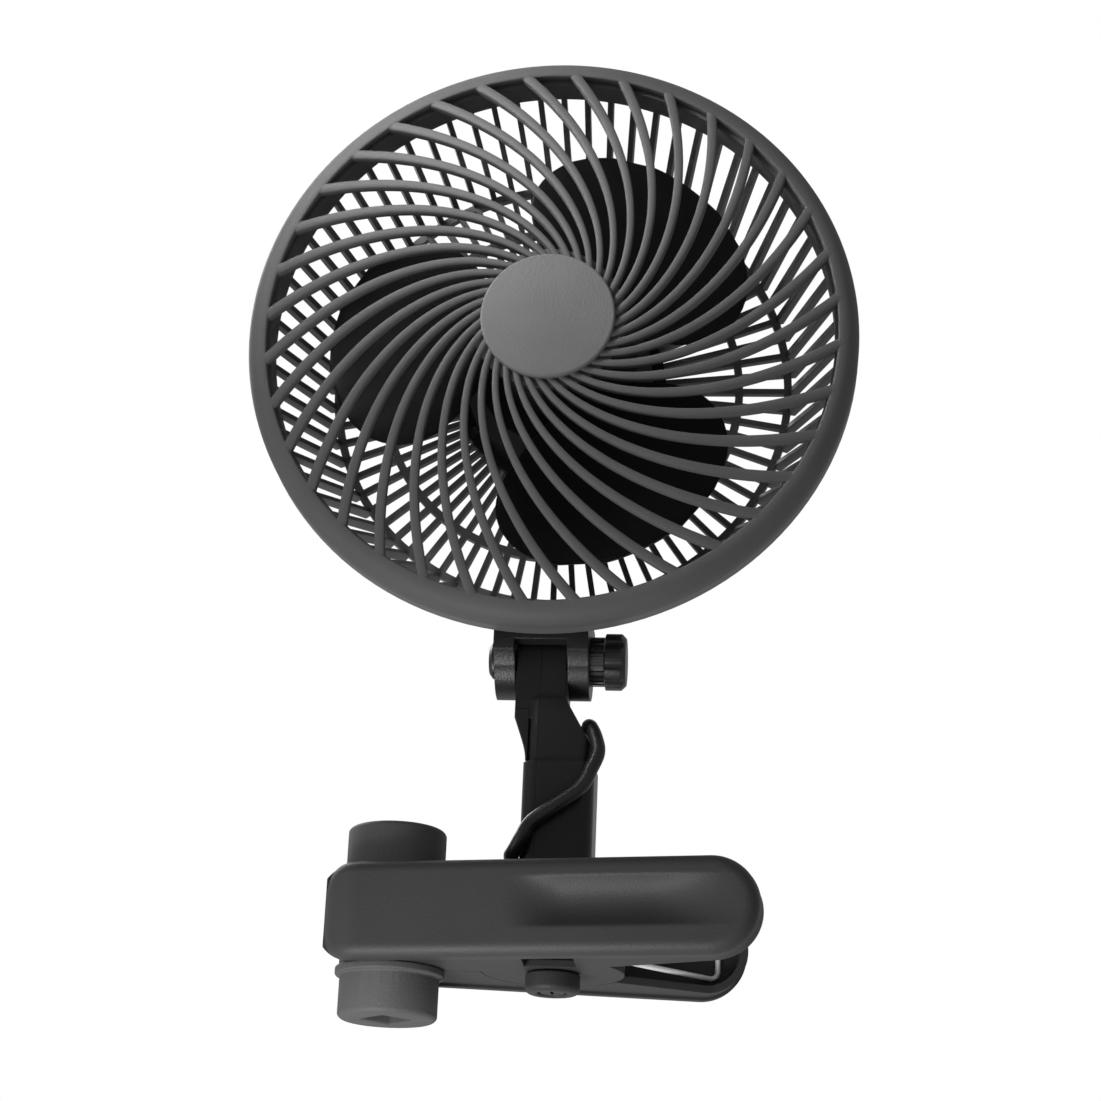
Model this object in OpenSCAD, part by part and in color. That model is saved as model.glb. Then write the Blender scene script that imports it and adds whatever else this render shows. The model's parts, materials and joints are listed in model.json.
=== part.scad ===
// Pole-clip fan: a guarded head on a tilt hinge, a post that turns on the clip's pivot, and a spring clip
// whose jaw sleeve grips a pole. The origin is the middle of the gripped pole, +Z runs up the pole,
// the fan blows towards -Y and the handles point to +X. All sizes are millimetres.

/* [Pole jaw] */
// Radius of the split jaw sleeve
sleeve_r = 14; // [12:0.5:17]
// Height of the jaw sleeve
sleeve_h = 54; // [44:1:80]
// Depth of the V groove in each half sleeve
groove_d = 8; // [5:0.5:10]
// Gap between the half sleeves when the jaw is shut
jaw_gap = 0.6; // [0.6:0.1:2]
// Height of the collar that keeps a half sleeve in its lever
collar_h = 2.4; // [1.5:0.1:4]
// How far the collar stands out from the sleeve
collar_out = 1.4; // [0.8:0.1:2]
// Width of the bevel round each end of the sleeve
sleeve_edge = 1.2; // [0.5:0.1:2]

/* [Clip levers] */
// Distance from the pole to the clip's pivot
pivot_x = 46; // [42:0.5:60]
// Distance from the pole to the tip of the front handle
lever_reach = 103; // [98:1:130]
// Distance from the pole to the tip of the rear handle
rear_reach = 98.5; // [96:0.5:126]
// Height of a lever cover
lever_h = 27; // [25:0.5:34]
// Distance from the pole to a lever's outer face
face_y = 23.5; // [22.5:0.5:30]
// Angle at which a lever spreads from the middle of the clip
spread = 10; // [6:0.5:12]
// Depth of the cover plate
cover_d = 6; // [5:0.5:8]
// Rounding round the cover's face
cover_round = 3.6; // [2:0.2:4.5]
// Radius of the lever's nose seen from above
nose_r = 13; // [9:0.5:15]
// Length of the nose past the pole
nose_out = 18; // [17:0.5:22]
// Rounding of the nose's upper and lower corners
nose_corner = 10; // [5:0.5:11]
// Step from the cover down to the lever walls
wall_step = 0.8; // [0.4:0.1:1.5]
// Thickness of the lever walls and cheeks
wall = 2.2; // [1.6:0.1:3]
// Radius of the cheeks round the pivot
cheek_r = 20; // [18:0.5:22]
// Length of the finger scoop in a cover
scoop_len = 56; // [40:1:66]
// Radius of the finger scoop
scoop_r = 10; // [7:0.5:12]
// Depth of the finger scoop
scoop_d = 3.6; // [1.5:0.1:4]

/* [Clip pivot and spring] */
// Radius of the pivot pin
pin_r = 4; // [3:0.25:5]
// Radius of the bush that carries the spring
bush_r = 6; // [5.5:0.25:7.5]
// Radius of the cap under the pivot
cap_r = 7.7; // [6:0.1:9]
// Height of the cap under the pivot
cap_h = 5.6; // [3:0.2:8]
// Radius of the spring wire
wire_r = 0.8; // [0.6:0.05:0.9]
// Rise of the spring in one curl
curl_pitch = 2.05; // [2.03:0.01:2.1]
// Whole curls in each half of the spring
curls = 2; // [1:1:2]

/* [Post and tilt hinge] */
// Width of the post at its foot
post_w = 20.5; // [18:0.5:24]
// Depth of the post at its foot
post_d = 21; // [18:0.5:24]
// Rounding of the post's upright edges
post_edge = 4; // [2:0.5:6]
// Height of the tilt axis above the middle of the jaw
tilt_z = 78.5; // [76:0.5:95]
// Offset of the tilt fork from the post, towards the pole
fork_off = 6; // [4:0.5:7]
// Radius of the post's knuckle
knuckle_r = 8.6; // [7:0.2:9]
// Width of the post's knuckle
knuckle_w = 14.4; // [12:0.2:16]
// Radius of the fork ears
ear_r = 11.5; // [10:0.25:12]
// Thickness of a fork ear
ear_t = 6; // [4.5:0.25:7]
// Radius of the tilt bolt
bolt_r = 3; // [2:0.25:3.5]
// Radius of the tooth ring beside the fork
tooth_r = 7.2; // [6:0.2:8.5]
// Width of the tooth ring
tooth_w = 4; // [3:0.25:6]
// Radius of the tilt knob
knob_r = 8.3; // [7:0.1:10]
// Width of the tilt knob
knob_w = 6; // [5:0.25:9]
// Diameter of the lead that winds round the post
lead_d = 4.2; // [3.4:0.1:4.4]

/* [Head] */
// Outer radius of the guard
head_r = 90.5; // [85:0.5:96]
// Height of the rim's lowest point above the tilt axis
hinge_drop = 3.4; // [2:0.2:8]
// Distance from the tilt axis forward to the rim
head_fwd = 28; // [27:0.5:40]
// Radius of the bull-nosed rim
rim_r = 5.6; // [5:0.25:9]
// Wall of the rim
rim_wall = 3; // [2:0.25:4]
// Width of the rim's inward lip
rim_lip = 0.6; // [0.4:0.1:3]
// Depth of the front half of the rim
rim_d = 8; // [7.5:0.1:12]
// Depth of the rear half of the rim
ring_d = 4.6; // [3.5:0.1:8]
// How far the dome stands in front of the rim
dome_h = 8; // [6:0.5:16]
// Thickness of the dome's ribs, front to back
rib_t = 3; // [2:0.25:4]
// Number of spiral ribs
ribs = 36; // [24:1:40]
// Width of a spiral rib at the hub
rib_w_hub = 1.9; // [1.5:0.1:2.5]
// Width of a spiral rib at the rim
rib_w_rim = 3; // [2:0.1:4]
// Turn of a spiral rib, in degrees, for each e-fold of radius
rib_turn = 43; // [20:1:60]
// Radius of the centre disc
disc_r = 19.7; // [16:0.1:21]
// Radius of the hub ring round the disc
hub_r = 22.5; // [22:0.1:26]
// How far the hub ring lies below the ribs
hub_drop = 1.4; // [0.5:0.1:2]
// How far the rear guard draws in from the rim to its kink
kink_in = 18.5; // [17:0.5:26]
// Depth of the rear guard from the rim's front to its back
guard_d = 46; // [44:0.5:52]
// Number of fine ribs in the rear guard
bars = 72; // [48:1:80]
// Width of a fine rib
bar_w = 1.7; // [1.2:0.1:2.2]
// Thickness of the rear guard
guard_t = 2.4; // [1.8:0.1:3]
// Radius of the ring in the back of the guard
back_ring_r = 55; // [46:1:60]

/* [Motor and blades] */
// Radius of the motor cavity
motor_r = 26; // [22:0.5:28]
// Wall of the motor's shell and cover
motor_wall = 2.5; // [2:0.1:3]
// Length of the motor cavity in front of the guard's back
motor_front = 16; // [14:0.5:17]
// Length of the motor cavity behind the guard's back
motor_back = 24; // [20:0.5:32]
// Radius of the motor shaft
shaft_r = 2.5; // [2:0.1:3]
// Radius of the rotor
rotor_r = 11.7; // [9:0.1:13]
// Tip radius of the blades
blade_r = 68; // [56:0.5:72]
// Thickness of a blade
blade_t = 1.6; // [1.2:0.1:2.4]
// Axial depth of a blade
blade_d = 19; // [12:0.5:20]
// Radius of the blade hub
blade_hub_r = 17; // [14:0.5:20]
// Number of blades
blades = 3; // [3:1:4]
// Radius of the speed knob
speed_r = 8; // [6:0.25:10]

/* [Hidden] */
$fn = 96;
run_gap = 0.3;
fit = 0.05;
seat = 0.02;
fork_x = pivot_x - fork_off;
face_slope = tan(spread);
nose_mid = nose_r - nose_out;
nose_face = nose_r - nose_mid*cos(spread) + (nose_r/cos(spread) - face_slope*nose_mid)*sin(spread);
wall_z = lever_h/2 - wall_step;
cheek_in = wall_z - 2*wall - run_gap;
foot_z = wall_z + run_gap;
head_z = tilt_z + head_r + hinge_drop;
kink_r = head_r - kink_in;
ring_z = -rim_d - ring_d;
ring_in = head_r - rim_wall - 4;
back_z = -guard_d;
dome_end = head_r - rim_r;
motor_nose = back_z + motor_front;
motor_tail = back_z - guard_t - motor_back;
ear_in = knuckle_w/2 + 0.4;
ear_out = ear_in + ear_t;
tooth_x = ear_out + seat;
knob_x = tooth_x + tooth_w + run_gap;
bolt_head = 2.4;
bolt_end = 1;
flange_t = 2.5;
mount_r = motor_r + motor_wall + 1.6*flange_t;
bearing_r = 6;
bearing_w = 4;
screw_r = 1.5;
plate_hole = motor_r + motor_wall;
wire_d = 2*wire_r;
coil_r = (bush_r + wire_r + 0.2)/cos(22.5);
coil_z0 = wire_r + 0.75;
tip_room = 7.3;
bridge_x = rear_reach - tip_room;
pin_up = 16;
post_step = 46;
post_top = tilt_z - ear_r - 2.2;
shoulder_up = 3;
shoulder_lean = (post_w/2 + fork_off - knuckle_w/2)/(post_top - post_step - shoulder_up);

// Tube swept along a path: rings are carried from point to point without twist
function unit(v) = v/norm(v);
function tangent(p, i) = unit(p[min(i + 1, len(p) - 1)] - p[max(i - 1, 0)]);
function side_start(t) = unit(cross(t, abs(t[2]) < 0.9 ? [0, 0, 1] : [1, 0, 0]));
function carry(n, t) = unit(n - t*(n*t));
function sides_along(p) = [for (i = 0, n = side_start(tangent(p, 0)); i < len(p);
    i = i + 1, n = i < len(p) ? carry(n, tangent(p, i)) : n) n];
function ring_at(c, t, n, r, k) = [for (j = [0 : k - 1])
    c + r*(n*cos(360*j/k) + cross(t, n)*sin(360*j/k))];
function tube_points(p, r, k) = let (s = sides_along(p))
    [for (i = [0 : len(p) - 1]) each ring_at(p[i], tangent(p, i), s[i], r, k)];
function tube_sides(n, k) = [for (i = [0 : n - 2]) for (j = [0 : k - 1])
    let (a = i*k + j, b = i*k + (j + 1)%k) each [[a, a + k, b], [b, a + k, b + k]]];
function tube_ends(n, k) = concat([for (j = [1 : k - 2]) [0, j, j + 1]],
    [for (j = [1 : k - 2]) [(n - 1)*k, (n - 1)*k + j + 1, (n - 1)*k + j]]);

module tube(path, r, k) {
    polyhedron(tube_points(path, r, k), concat(tube_sides(len(path), k), tube_ends(len(path), k)));
}

// Stations of the moving groups
module head_place() {
    translate([fork_x, -head_fwd, head_z]) rotate([90, 0, 0]) children();
}

module tilt_place() {
    translate([fork_x, 0, tilt_z]) rotate([90, 0, 90]) children();
}

module face_place() {
    translate([0, -face_y, 0]) rotate([0, 0, -spread]) rotate([90, 0, 0]) children();
}

module pivot_place() {
    translate([pivot_x, 0, 0]) children();
}

// Outline of a lever seen square to its face: a nose with rounded corners and a round handle end
module pill(inset, reach) {
    r = lever_h/2 - inset;
    tip = reach/cos(spread) - lever_h/2;
    corner = nose_corner - inset;
    left = inset - nose_face + corner;
    corner_steps = 8;
    polygon(concat([[tip, -r], [tip, r]],
        [for (i = [0 : corner_steps]) [left, r - corner] + polar(corner, 90 + 90*i/corner_steps)],
        [for (i = [0 : corner_steps]) [left, corner - r] + polar(corner, 180 + 90*i/corner_steps)]));
    translate([tip, 0]) circle(r);
}

// Lever seen from above, as far as the middle of the clip
module lever_plan(inset, reach) {
    far = reach + 30;
    tip_in = face_y + face_slope*reach - 15;
    nose_steps = 16;
    cx = inset - nose_out + nose_r;
    cy = nose_r/cos(spread) - face_y - face_slope*cx;
    polygon(concat([[cx - nose_r, -jaw_gap/2], [pivot_x, -jaw_gap/2],
        [pivot_x + cheek_r*cos(35), -cheek_r*sin(35)], [reach - 8, -tip_in],
        [far, -tip_in - face_slope*30], [far, -face_y - face_slope*far - 5]],
        [for (i = [nose_steps : -1 : 0]) [cx, cy] + polar(nose_r, 180 + (90 - spread)*i/nose_steps)]));
}

module lever_shell(reach) {
    depth = face_y + cheek_r + 40;
    intersection() {
        face_place() translate([0, 0, -depth]) linear_extrude(depth - cover_d) difference() {
            pill(wall_step, reach);
            pill(wall_step + wall, reach);
        }
        translate([0, 0, -lever_h]) linear_extrude(2*lever_h) children();
    }
}

// Solid jaw end that holds the half sleeve, and the shell behind it
module jaw_block(reach) {
    difference() {
        intersection() {
            translate([0, 0, -wall_z]) linear_extrude(2*wall_z) intersection() {
                lever_plan(wall_step, reach);
                translate([-2*nose_out, -3*face_y]) square([2*nose_out + sleeve_r + 2*wall, 3*face_y]);
            }
            face_place() translate([0, 0, -3*face_y]) linear_extrude(3*face_y - cover_d)
                pill(wall_step, reach);
        }
        cylinder(r = sleeve_r + seat, h = 2*lever_h, center = true);
    }
}

module cheek(z) {
    for (s = [-1, 1]) translate([0, 0, s*z - wall/2]) linear_extrude(wall) children();
}

// Plate between the pivot and the inside of the cover
module cheek_root(half) {
    back = function (x) -face_y - face_slope*x + cover_d/cos(spread) + seat;
    left = pivot_x - half;
    right = pivot_x + half;
    polygon([[left, 0], [left, back(left)], [right, back(right)], [right, 0]]);
}

module front_lever() {
    cut_w = 2*cap_r - 1;
    color("#2b2c2e") difference() {
        union() {
            lever_shell(lever_reach) union() {
                lever_plan(wall_step, lever_reach);
                translate([pivot_x, 0]) circle(cheek_r);
            }
            jaw_block(lever_reach);
        }
        pivot_place() cylinder(r = pin_r + fit, h = 2*lever_h, center = true);
        cylinder(r = sleeve_r + seat, h = 2*lever_h, center = true);
        translate([pivot_x - cut_w/2, -face_y - 2*cheek_r, -lever_h])
            cube([cut_w, face_y + 2*cheek_r - cap_r - 1.2, lever_h]);
    }
}

module rear_lever() {
    inner = cheek_r - 1;
    color("#2b2c2e") mirror([0, 1, 0]) difference() {
        union() {
            lever_shell(rear_reach) difference() {
                lever_plan(wall_step, rear_reach);
                translate([pivot_x, 0]) circle(cheek_r + run_gap);
            }
            jaw_block(rear_reach);
            cheek(cheek_in + wall/2) difference() {
                union() {
                    translate([pivot_x, 0]) circle(inner);
                    cheek_root(inner);
                }
                circle(sleeve_r + 2*wall + nose_r/2);
            }
            cheek(cheek_in + wall + run_gap/2) intersection() {
                cheek_root(inner);
                difference() {
                    translate([pivot_x, 0]) circle(2*cheek_r);
                    translate([pivot_x, 0]) circle(cheek_r + run_gap);
                }
            }
        }
        pivot_place() cylinder(r = pin_r + seat, h = 2*lever_h, center = true);
        cylinder(r = sleeve_r + seat, h = 2*lever_h, center = true);
    }
}

// Face plate with a rounded border, a nose that bends back, and a finger scoop that runs out to the tip
function border(t) = cover_round - sqrt(pow(cover_round, 2) - pow(max(cover_round - t, 0), 2));
function nose_at(t) = nose_r - nose_face - sqrt(pow(nose_r, 2) - pow(nose_r - t, 2));
function cover_half(x, t) = let (past = max(nose_corner - nose_face - x, 0), corner = nose_corner - border(t))
    lever_h/2 - nose_corner + sqrt(max(pow(corner, 2) - pow(past, 2), 0));
function cover_loop(t, reach) = let (r = lever_h/2 - border(t), tip = reach/cos(spread) - lever_h/2,
    left = nose_at(t), n = 10)
    concat([for (i = [0 : n]) let (x = left*(1 - i/n)) [x, -cover_half(x, t), -t]],
        [for (a = [-90 : 7.5 : 90]) [tip + r*cos(a), r*sin(a), -t]],
        [for (i = [n : -1 : 0]) let (x = left*(1 - i/n)) [x, cover_half(x, t), -t]]);

module lever_cover(reach) {
    border_steps = 5;
    depths = concat([for (i = [border_steps : -1 : 0]) cover_round*(1 - sin(90*i/border_steps))],
        [for (f = [1/3, 2/3, 1]) cover_round + f*(cover_d - seat - cover_round)]);
    last = len(depths) - 1;
    count = len(cover_loop(0, reach));
    scoop_x = reach - lever_h/2 - scoop_len + 6;
    scoop_tilt = asin(scoop_d/scoop_len);
    difference() {
        face_place() polyhedron([for (t = depths) each cover_loop(t, reach)],
            concat([[for (i = [count - 1 : -1 : 0]) i], [for (i = [0 : count - 1]) last*count + i]],
                [for (k = [0 : last - 1]) for (i = [0 : count - 1])
                    let (a = k*count + i, b = k*count + (i + 1)%count)
                    each [[a, b, b + count], [a, b + count, a + count]]]));
        face_place() translate([scoop_x, 0, scoop_r - scoop_d]) rotate([0, -scoop_tilt, 0]) {
            sphere(scoop_r);
            rotate([0, 90, 0]) cylinder(r = scoop_r, h = 1.5*scoop_len);
        }
        cylinder(r = sleeve_r + collar_out + run_gap, h = 2*sleeve_h, center = true);
    }
}

module front_cover() {
    color("#333436") lever_cover(lever_reach);
}

module rear_cover() {
    color("#333436") mirror([0, 1, 0]) lever_cover(rear_reach);
}

// Half sleeve with its V groove and the collars that hold it in the lever
module half_sleeve() {
    end = sleeve_h/2;
    soft = 0.3*sleeve_edge;
    difference() {
        union() {
            rotate_extrude() polygon([[0, -end], [sleeve_r - sleeve_edge, -end], [sleeve_r - soft, soft - end],
                [sleeve_r, sleeve_edge - end], [sleeve_r, end - sleeve_edge], [sleeve_r - soft, end - soft],
                [sleeve_r - sleeve_edge, end], [0, end]]);
            for (s = [0, 1]) mirror([0, 0, s]) translate([0, 0, wall_z])
                cylinder(r = sleeve_r + collar_out, h = collar_h);
        }
        translate([-2*sleeve_r, -jaw_gap/2, -sleeve_h]) cube([4*sleeve_r, 3*sleeve_r, 2*sleeve_h]);
        linear_extrude(2*sleeve_h, center = true)
            polygon([[-groove_d, 0], [0, -groove_d], [groove_d, 0], [0, groove_d]]);
    }
}

module front_jaw_pad() {
    color("#3b3c3e") half_sleeve();
}

module rear_jaw_pad() {
    color("#3b3c3e") mirror([0, 1, 0]) half_sleeve();
}

module pivot_pin() {
    color("silver") pivot_place() difference() {
        translate([0, 0, -foot_z]) cylinder(r = pin_r, h = 2*foot_z + pin_up);
        translate([0, 0, -foot_z - 1]) cylinder(r = screw_r, h = 11);
    }
}

module spring_bush() {
    color("#404144") pivot_place() difference() {
        cylinder(r = bush_r, h = 2*(cheek_in - seat), center = true);
        cylinder(r = pin_r + seat, h = lever_h, center = true);
    }
}

module pivot_cap() {
    color("#2b2c2e") pivot_place() translate([0, 0, -foot_z - cap_h]) difference() {
        rotate_extrude() polygon([[screw_r + 0.3, 0], [cap_r - 1, 0], [cap_r, 1], [cap_r, cap_h],
            [screw_r + 0.3, cap_h]]);
        translate([0, 0, -1]) cylinder(r = 4.2, h = 3);
    }
}

module pivot_screw() {
    color("silver") pivot_place() translate([0, 0, -foot_z - cap_h + 2]) difference() {
        union() {
            cylinder(r = screw_r, h = cap_h + 7);
            translate([0, 0, -1.6]) cylinder(r = 3.4, h = 1.6);
        }
        for (a = [0, 90]) rotate(a) translate([-2.4, -0.4, -2]) cube([4.8, 0.8, 1.2]);
    }
}

// Double torsion spring: a free leg, a coil, the bridge behind the rear cover, and the same again below
function on_coil(a, z) = [pivot_x + coil_r*cos(a), coil_r*sin(a), z];
function rear_seat(x) = face_y + face_slope*x - cover_d/cos(spread) - wire_r - 0.15;
bridge_y = rear_seat(bridge_x);
leg_x = bridge_x - 9;
leg_y = -rear_seat(leg_x);
function aim(x, y) = atan2(y, x - pivot_x);
function reach(x, y) = norm([x - pivot_x, y]);
arrive = aim(leg_x, leg_y) + acos(coil_r/reach(leg_x, leg_y));
leave = aim(bridge_x, bridge_y) - acos(coil_r/reach(bridge_x, bridge_y));
coil_turn = 360*curls + (leave + 360 - arrive);
coil_rings = ceil(8*coil_turn/360);
coil_z1 = coil_z0 + curl_pitch*coil_turn/360;
half_spring = concat([[leg_x, leg_y, coil_z0]],
    [let (a = on_coil(arrive, coil_z0)) a + ([leg_x, leg_y, coil_z0] - a)*0.4],
    [for (i = [0 : coil_rings]) let (f = i/coil_rings)
        on_coil(arrive + coil_turn*f, coil_z0 + (coil_z1 - coil_z0)*f)],
    [let (a = on_coil(leave, coil_z1)) a + ([bridge_x, bridge_y, coil_z1] - a)*0.5],
    [for (a = [0 : 30 : 90]) [bridge_x - 2 + 2*sin(a), bridge_y, coil_z1 - 2 + 2*cos(a)]]);
spring_path = concat(half_spring,
    [for (i = [len(half_spring) - 1 : -1 : 0]) let (p = half_spring[i]) [p[0], p[1], -p[2]]]);
spring_gap = min([for (i = [0 : len(spring_path) - 1]) for (j = [i + 5 : 1 : len(spring_path) - 1])
    norm(spring_path[i] - spring_path[j])]) - wire_d;

module clip_spring() {
    color("silver") tube(spring_path, wire_r, 6);
    echo(spring_gap = spring_gap);
}

// Post: a main body with the knuckle, closed by a side shell along the middle of the knuckle
module rounded(w, d, r) {
    translate([r - w/2, -d/2]) square([w - 2*r, d]);
    translate([-w/2, r - d/2]) square([w, d - 2*r]);
    for (x = [-1, 1]) for (y = [-1, 1]) translate([x*(w/2 - r), y*(d/2 - r)]) circle(r);
}

// Right edge of the post's shoulder, which leans in to the knuckle
function shoulder_x(z) = max(fork_x + knuckle_w/2,
    pivot_x + post_w/2 - shoulder_lean*max(z - post_step - shoulder_up, 0));

module post_form() {
    difference() {
        union() {
            pivot_place() {
                translate([0, 0, foot_z]) linear_extrude(post_step - foot_z)
                    rounded(post_w, post_d, post_edge);
                translate([0, 0, post_step]) linear_extrude(post_top - post_step)
                    rounded(post_w - 1, post_d - 2, post_edge);
            }
            translate([fork_x - knuckle_w/2, 0, tilt_z]) rotate([0, 90, 0])
                cylinder(r = knuckle_r, h = knuckle_w);
            translate([fork_x - knuckle_w/2, -knuckle_r, post_top - 6])
                cube([knuckle_w, 2*knuckle_r, tilt_z - post_top + 6]);
        }
        translate([fork_x - knuckle_w, 0, tilt_z]) rotate([0, 90, 0])
            cylinder(r = bolt_r + fit, h = 2*knuckle_w);
        pivot_place() cylinder(r = pin_r + fit, h = foot_z + pin_up + run_gap);
        rotate([90, 0, 0]) linear_extrude(2*post_d, center = true)
            polygon([[shoulder_x(post_top), post_top], [shoulder_x(post_top), tilt_z], [2*pivot_x, tilt_z],
                [2*pivot_x, post_step + shoulder_up], [shoulder_x(post_step), post_step + shoulder_up]]);
        for (p = [lead_in, lead_out]) translate(p) rotate([90, 0, 0])
            cylinder(r = lead_d/2 + 0.1, h = 2*lead_plug, center = true);
        for (z = post_screw_z) translate([post_head_x, 0, z]) rotate([0, 90, 0]) {
            translate([0, 0, -seat]) cylinder(r = screw_r + seat, h = post_screw_l + run_gap);
            translate([0, 0, -post_w]) cylinder(r = post_head_r + run_gap, h = post_w);
        }
    }
}

post_screw_z = [36, 56];
post_screw_l = 12;
post_head_r = 2.6;
post_head_h = 1.6;
post_head_x = pivot_x - post_w/2 + 2.2;
module post_body() {
    color("#303133") difference() {
        post_form();
        translate([fork_x - 2*post_w, -post_d, 0]) cube([2*post_w, 2*post_d, 2*tilt_z]);
    }
}

module post_side() {
    color("#303133") intersection() {
        post_form();
        translate([fork_x - 2*post_w - seat, -post_d, 0]) cube([2*post_w, 2*post_d, 2*tilt_z]);
    }
}

module post_screws() {
    color("silver") for (z = post_screw_z) translate([post_head_x, 0, z]) rotate([0, 90, 0]) {
        translate([0, 0, -post_head_h/2]) cylinder(r = screw_r, h = post_screw_l + post_head_h/2);
        translate([0, 0, -post_head_h]) cylinder(r = post_head_r, h = post_head_h - seat);
    }
}

// Lead: out of the post's back under the hinge, round the right edge, down across the front and
// round the left edge into the back of the foot
lead_plug = 5;
lead_hi = 60;
lead_lo = 19;
lead_a = post_w/2 + lead_d/2 + 0.5;
lead_room = lead_d/2 + 1;
lead_b = post_d/2 + lead_d/2 + 0.5;
lead_in = [pivot_x - 1, post_d/2 + 0.5, lead_hi];
lead_out = [pivot_x - 2, post_d/2 + 0.5, lead_lo];
function bulge(v) = sign(v)*sqrt(abs(v));
function ease(f) = let (c = min(max(f, 0), 1)) c*c*(3 - 2*c);
function lead_z(a) = lead_hi + (lead_lo - lead_hi)*ease((15 - a)/170);
function lead_out_x(a) = cos(a) > 0 ? shoulder_x(lead_z(a)) - pivot_x + lead_room : -lead_a;
function lead_ring(a) = [pivot_x + lead_out_x(a)*sqrt(abs(cos(a))), lead_b*bulge(sin(a)), lead_z(a)];
function lead_end(p, side) = [p + [0, 0.5 - lead_plug, 0], p - [0, 0.5, 0],
    [p[0] + 1.6*side, lead_b - 0.1, p[2]]];
lead_path = concat(lead_end(lead_in, 1), [for (a = [60 : -15 : -240]) lead_ring(a)],
    [for (i = [2 : -1 : 0]) lead_end(lead_out, -1)[i]]);

module motor_lead() {
    color("#1d1e20") tube(lead_path, lead_d/2, 8);
}

// Tilt fork: two ears and a saddle that seats on the rim's back and on the cone of the rear guard
module guard_room(gap) {
    head_place() rotate_extrude() polygon([[0, 0], [head_r + gap, 0], [head_r + gap, ring_z - gap],
        [ring_in + guard_t + gap, ring_z - gap], [kink_r + 0.6 + gap, back_z - gap - guard_t],
        [0, back_z - gap - guard_t]]);
}

module tilt_fork() {
    saddle_y = head_fwd + ring_z;
    saddle_h = 12;
    color("#2b2c2e") difference() {
        union() {
            for (x = [-ear_out, ear_in]) translate([x, 0, 0]) tilt_place() linear_extrude(ear_t) {
                circle(ear_r);
                polygon([[-saddle_y, -1], [0, -ear_r], [ear_r, 0], [ear_r, saddle_h], [-saddle_y, saddle_h]]);
            }
            translate([-ear_out, 0, 0]) tilt_place() translate([-saddle_y, 2, 0])
                cube([saddle_y - knuckle_r - 1, saddle_h - 2, 2*ear_out]);
        }
        guard_room(seat);
        translate([fork_x - 2*ear_out, 0, tilt_z]) rotate([0, 90, 0])
            cylinder(r = bolt_r + seat, h = 4*ear_out);
    }
}

module tilt_bolt() {
    color("silver") tilt_place() {
        translate([0, 0, -ear_out - bolt_head/2])
            cylinder(r = bolt_r, h = knob_x + knob_w + ear_out - bolt_end);
        translate([0, 0, -ear_out - bolt_head]) rotate_extrude()
            polygon([[0, 0], [1.35*bolt_r, 0], [1.8*bolt_r, 0.33*bolt_r],
                [1.8*bolt_r, bolt_head - seat], [0, bolt_head - seat]]);
    }
}

module tooth_ring() {
    teeth = 24;
    color("#5a5b5d") tilt_place() translate([0, 0, tooth_x]) linear_extrude(tooth_w) difference() {
        union() {
            circle(tooth_r - 0.7);
            for (i = [0 : teeth - 1]) rotate(360*i/teeth) translate([0, -0.45]) square([tooth_r, 0.9]);
        }
        circle(bolt_r + seat);
    }
}

module tilt_knob() {
    lobes = 8;
    knob_edge = 1.4;
    color("#2b2c2e") tilt_place() translate([0, 0, knob_x]) difference() {
        rotate_extrude() polygon([[0, 0], [knob_r, 0], [knob_r, knob_w - knob_edge],
            [knob_r - knob_edge, knob_w], [0, knob_w]]);
        for (i = [0 : lobes - 1]) rotate(360*(i + 0.5)/lobes) translate([knob_r + 1.2, 0, -1])
            cylinder(r = 2, h = knob_w + 2);
        translate([0, 0, -1]) cylinder(r = bolt_r + fit, h = knob_w);
    }
}

// Front guard: spiral ribs cut from a domed shell, a bull-nosed rim and a hub ring
function dome_z(r) = dome_h*(1 - pow((r - hub_r)/(dome_end - hub_r), 2));
function spiral(r) = rib_turn*ln(r/hub_r);
function rib_w(r) = rib_w_hub + (rib_w_rim - rib_w_hub)*(r - hub_r)/(dome_end - hub_r);
function polar(r, a) = [r*cos(a), r*sin(a)];
rib_steps = 10;
rib_in = disc_r - 0.5;
rib_radii = [for (i = [0 : rib_steps]) rib_in + (dome_end + 1 - rib_in)*i/rib_steps];

module spiral_rib() {
    half = function (r) rib_w(r)/2/r*180/PI*sqrt(1 + pow(rib_turn*PI/180, 2));
    polygon(concat([for (r = rib_radii) polar(r, spiral(r) - half(r))],
        [for (i = [rib_steps : -1 : 0]) let (r = rib_radii[i]) polar(r, spiral(r) + half(r))]));
}

module dome_profile() {
    n = 10;
    radii = [for (i = [0 : n]) (rib_in - 0.5) + (dome_end + 2.5 - rib_in)*i/n];
    polygon(concat([for (r = radii) [r, dome_z(r)]],
        [for (i = [n : -1 : 0]) [radii[i], dome_z(radii[i]) - rib_t]]));
}

module rim_profile() {
    c = [head_r - rim_r, -rim_r];
    difference() {
        union() {
            intersection() {
                translate(c) circle(rim_r);
                translate([c[0] - rim_lip, c[1]]) square([rim_r + rim_lip, rim_r]);
            }
            translate([c[0] - rim_lip, -rim_d]) square([rim_r + rim_lip, rim_d - rim_r]);
        }
        intersection() {
            translate(c) circle(rim_r - rim_wall);
            translate([0, c[1]]) square(2*head_r);
        }
        translate([c[0] - 2*rim_wall, -2*rim_d]) square([rim_r + rim_wall, 2*rim_d - rim_r]);
    }
}

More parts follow.
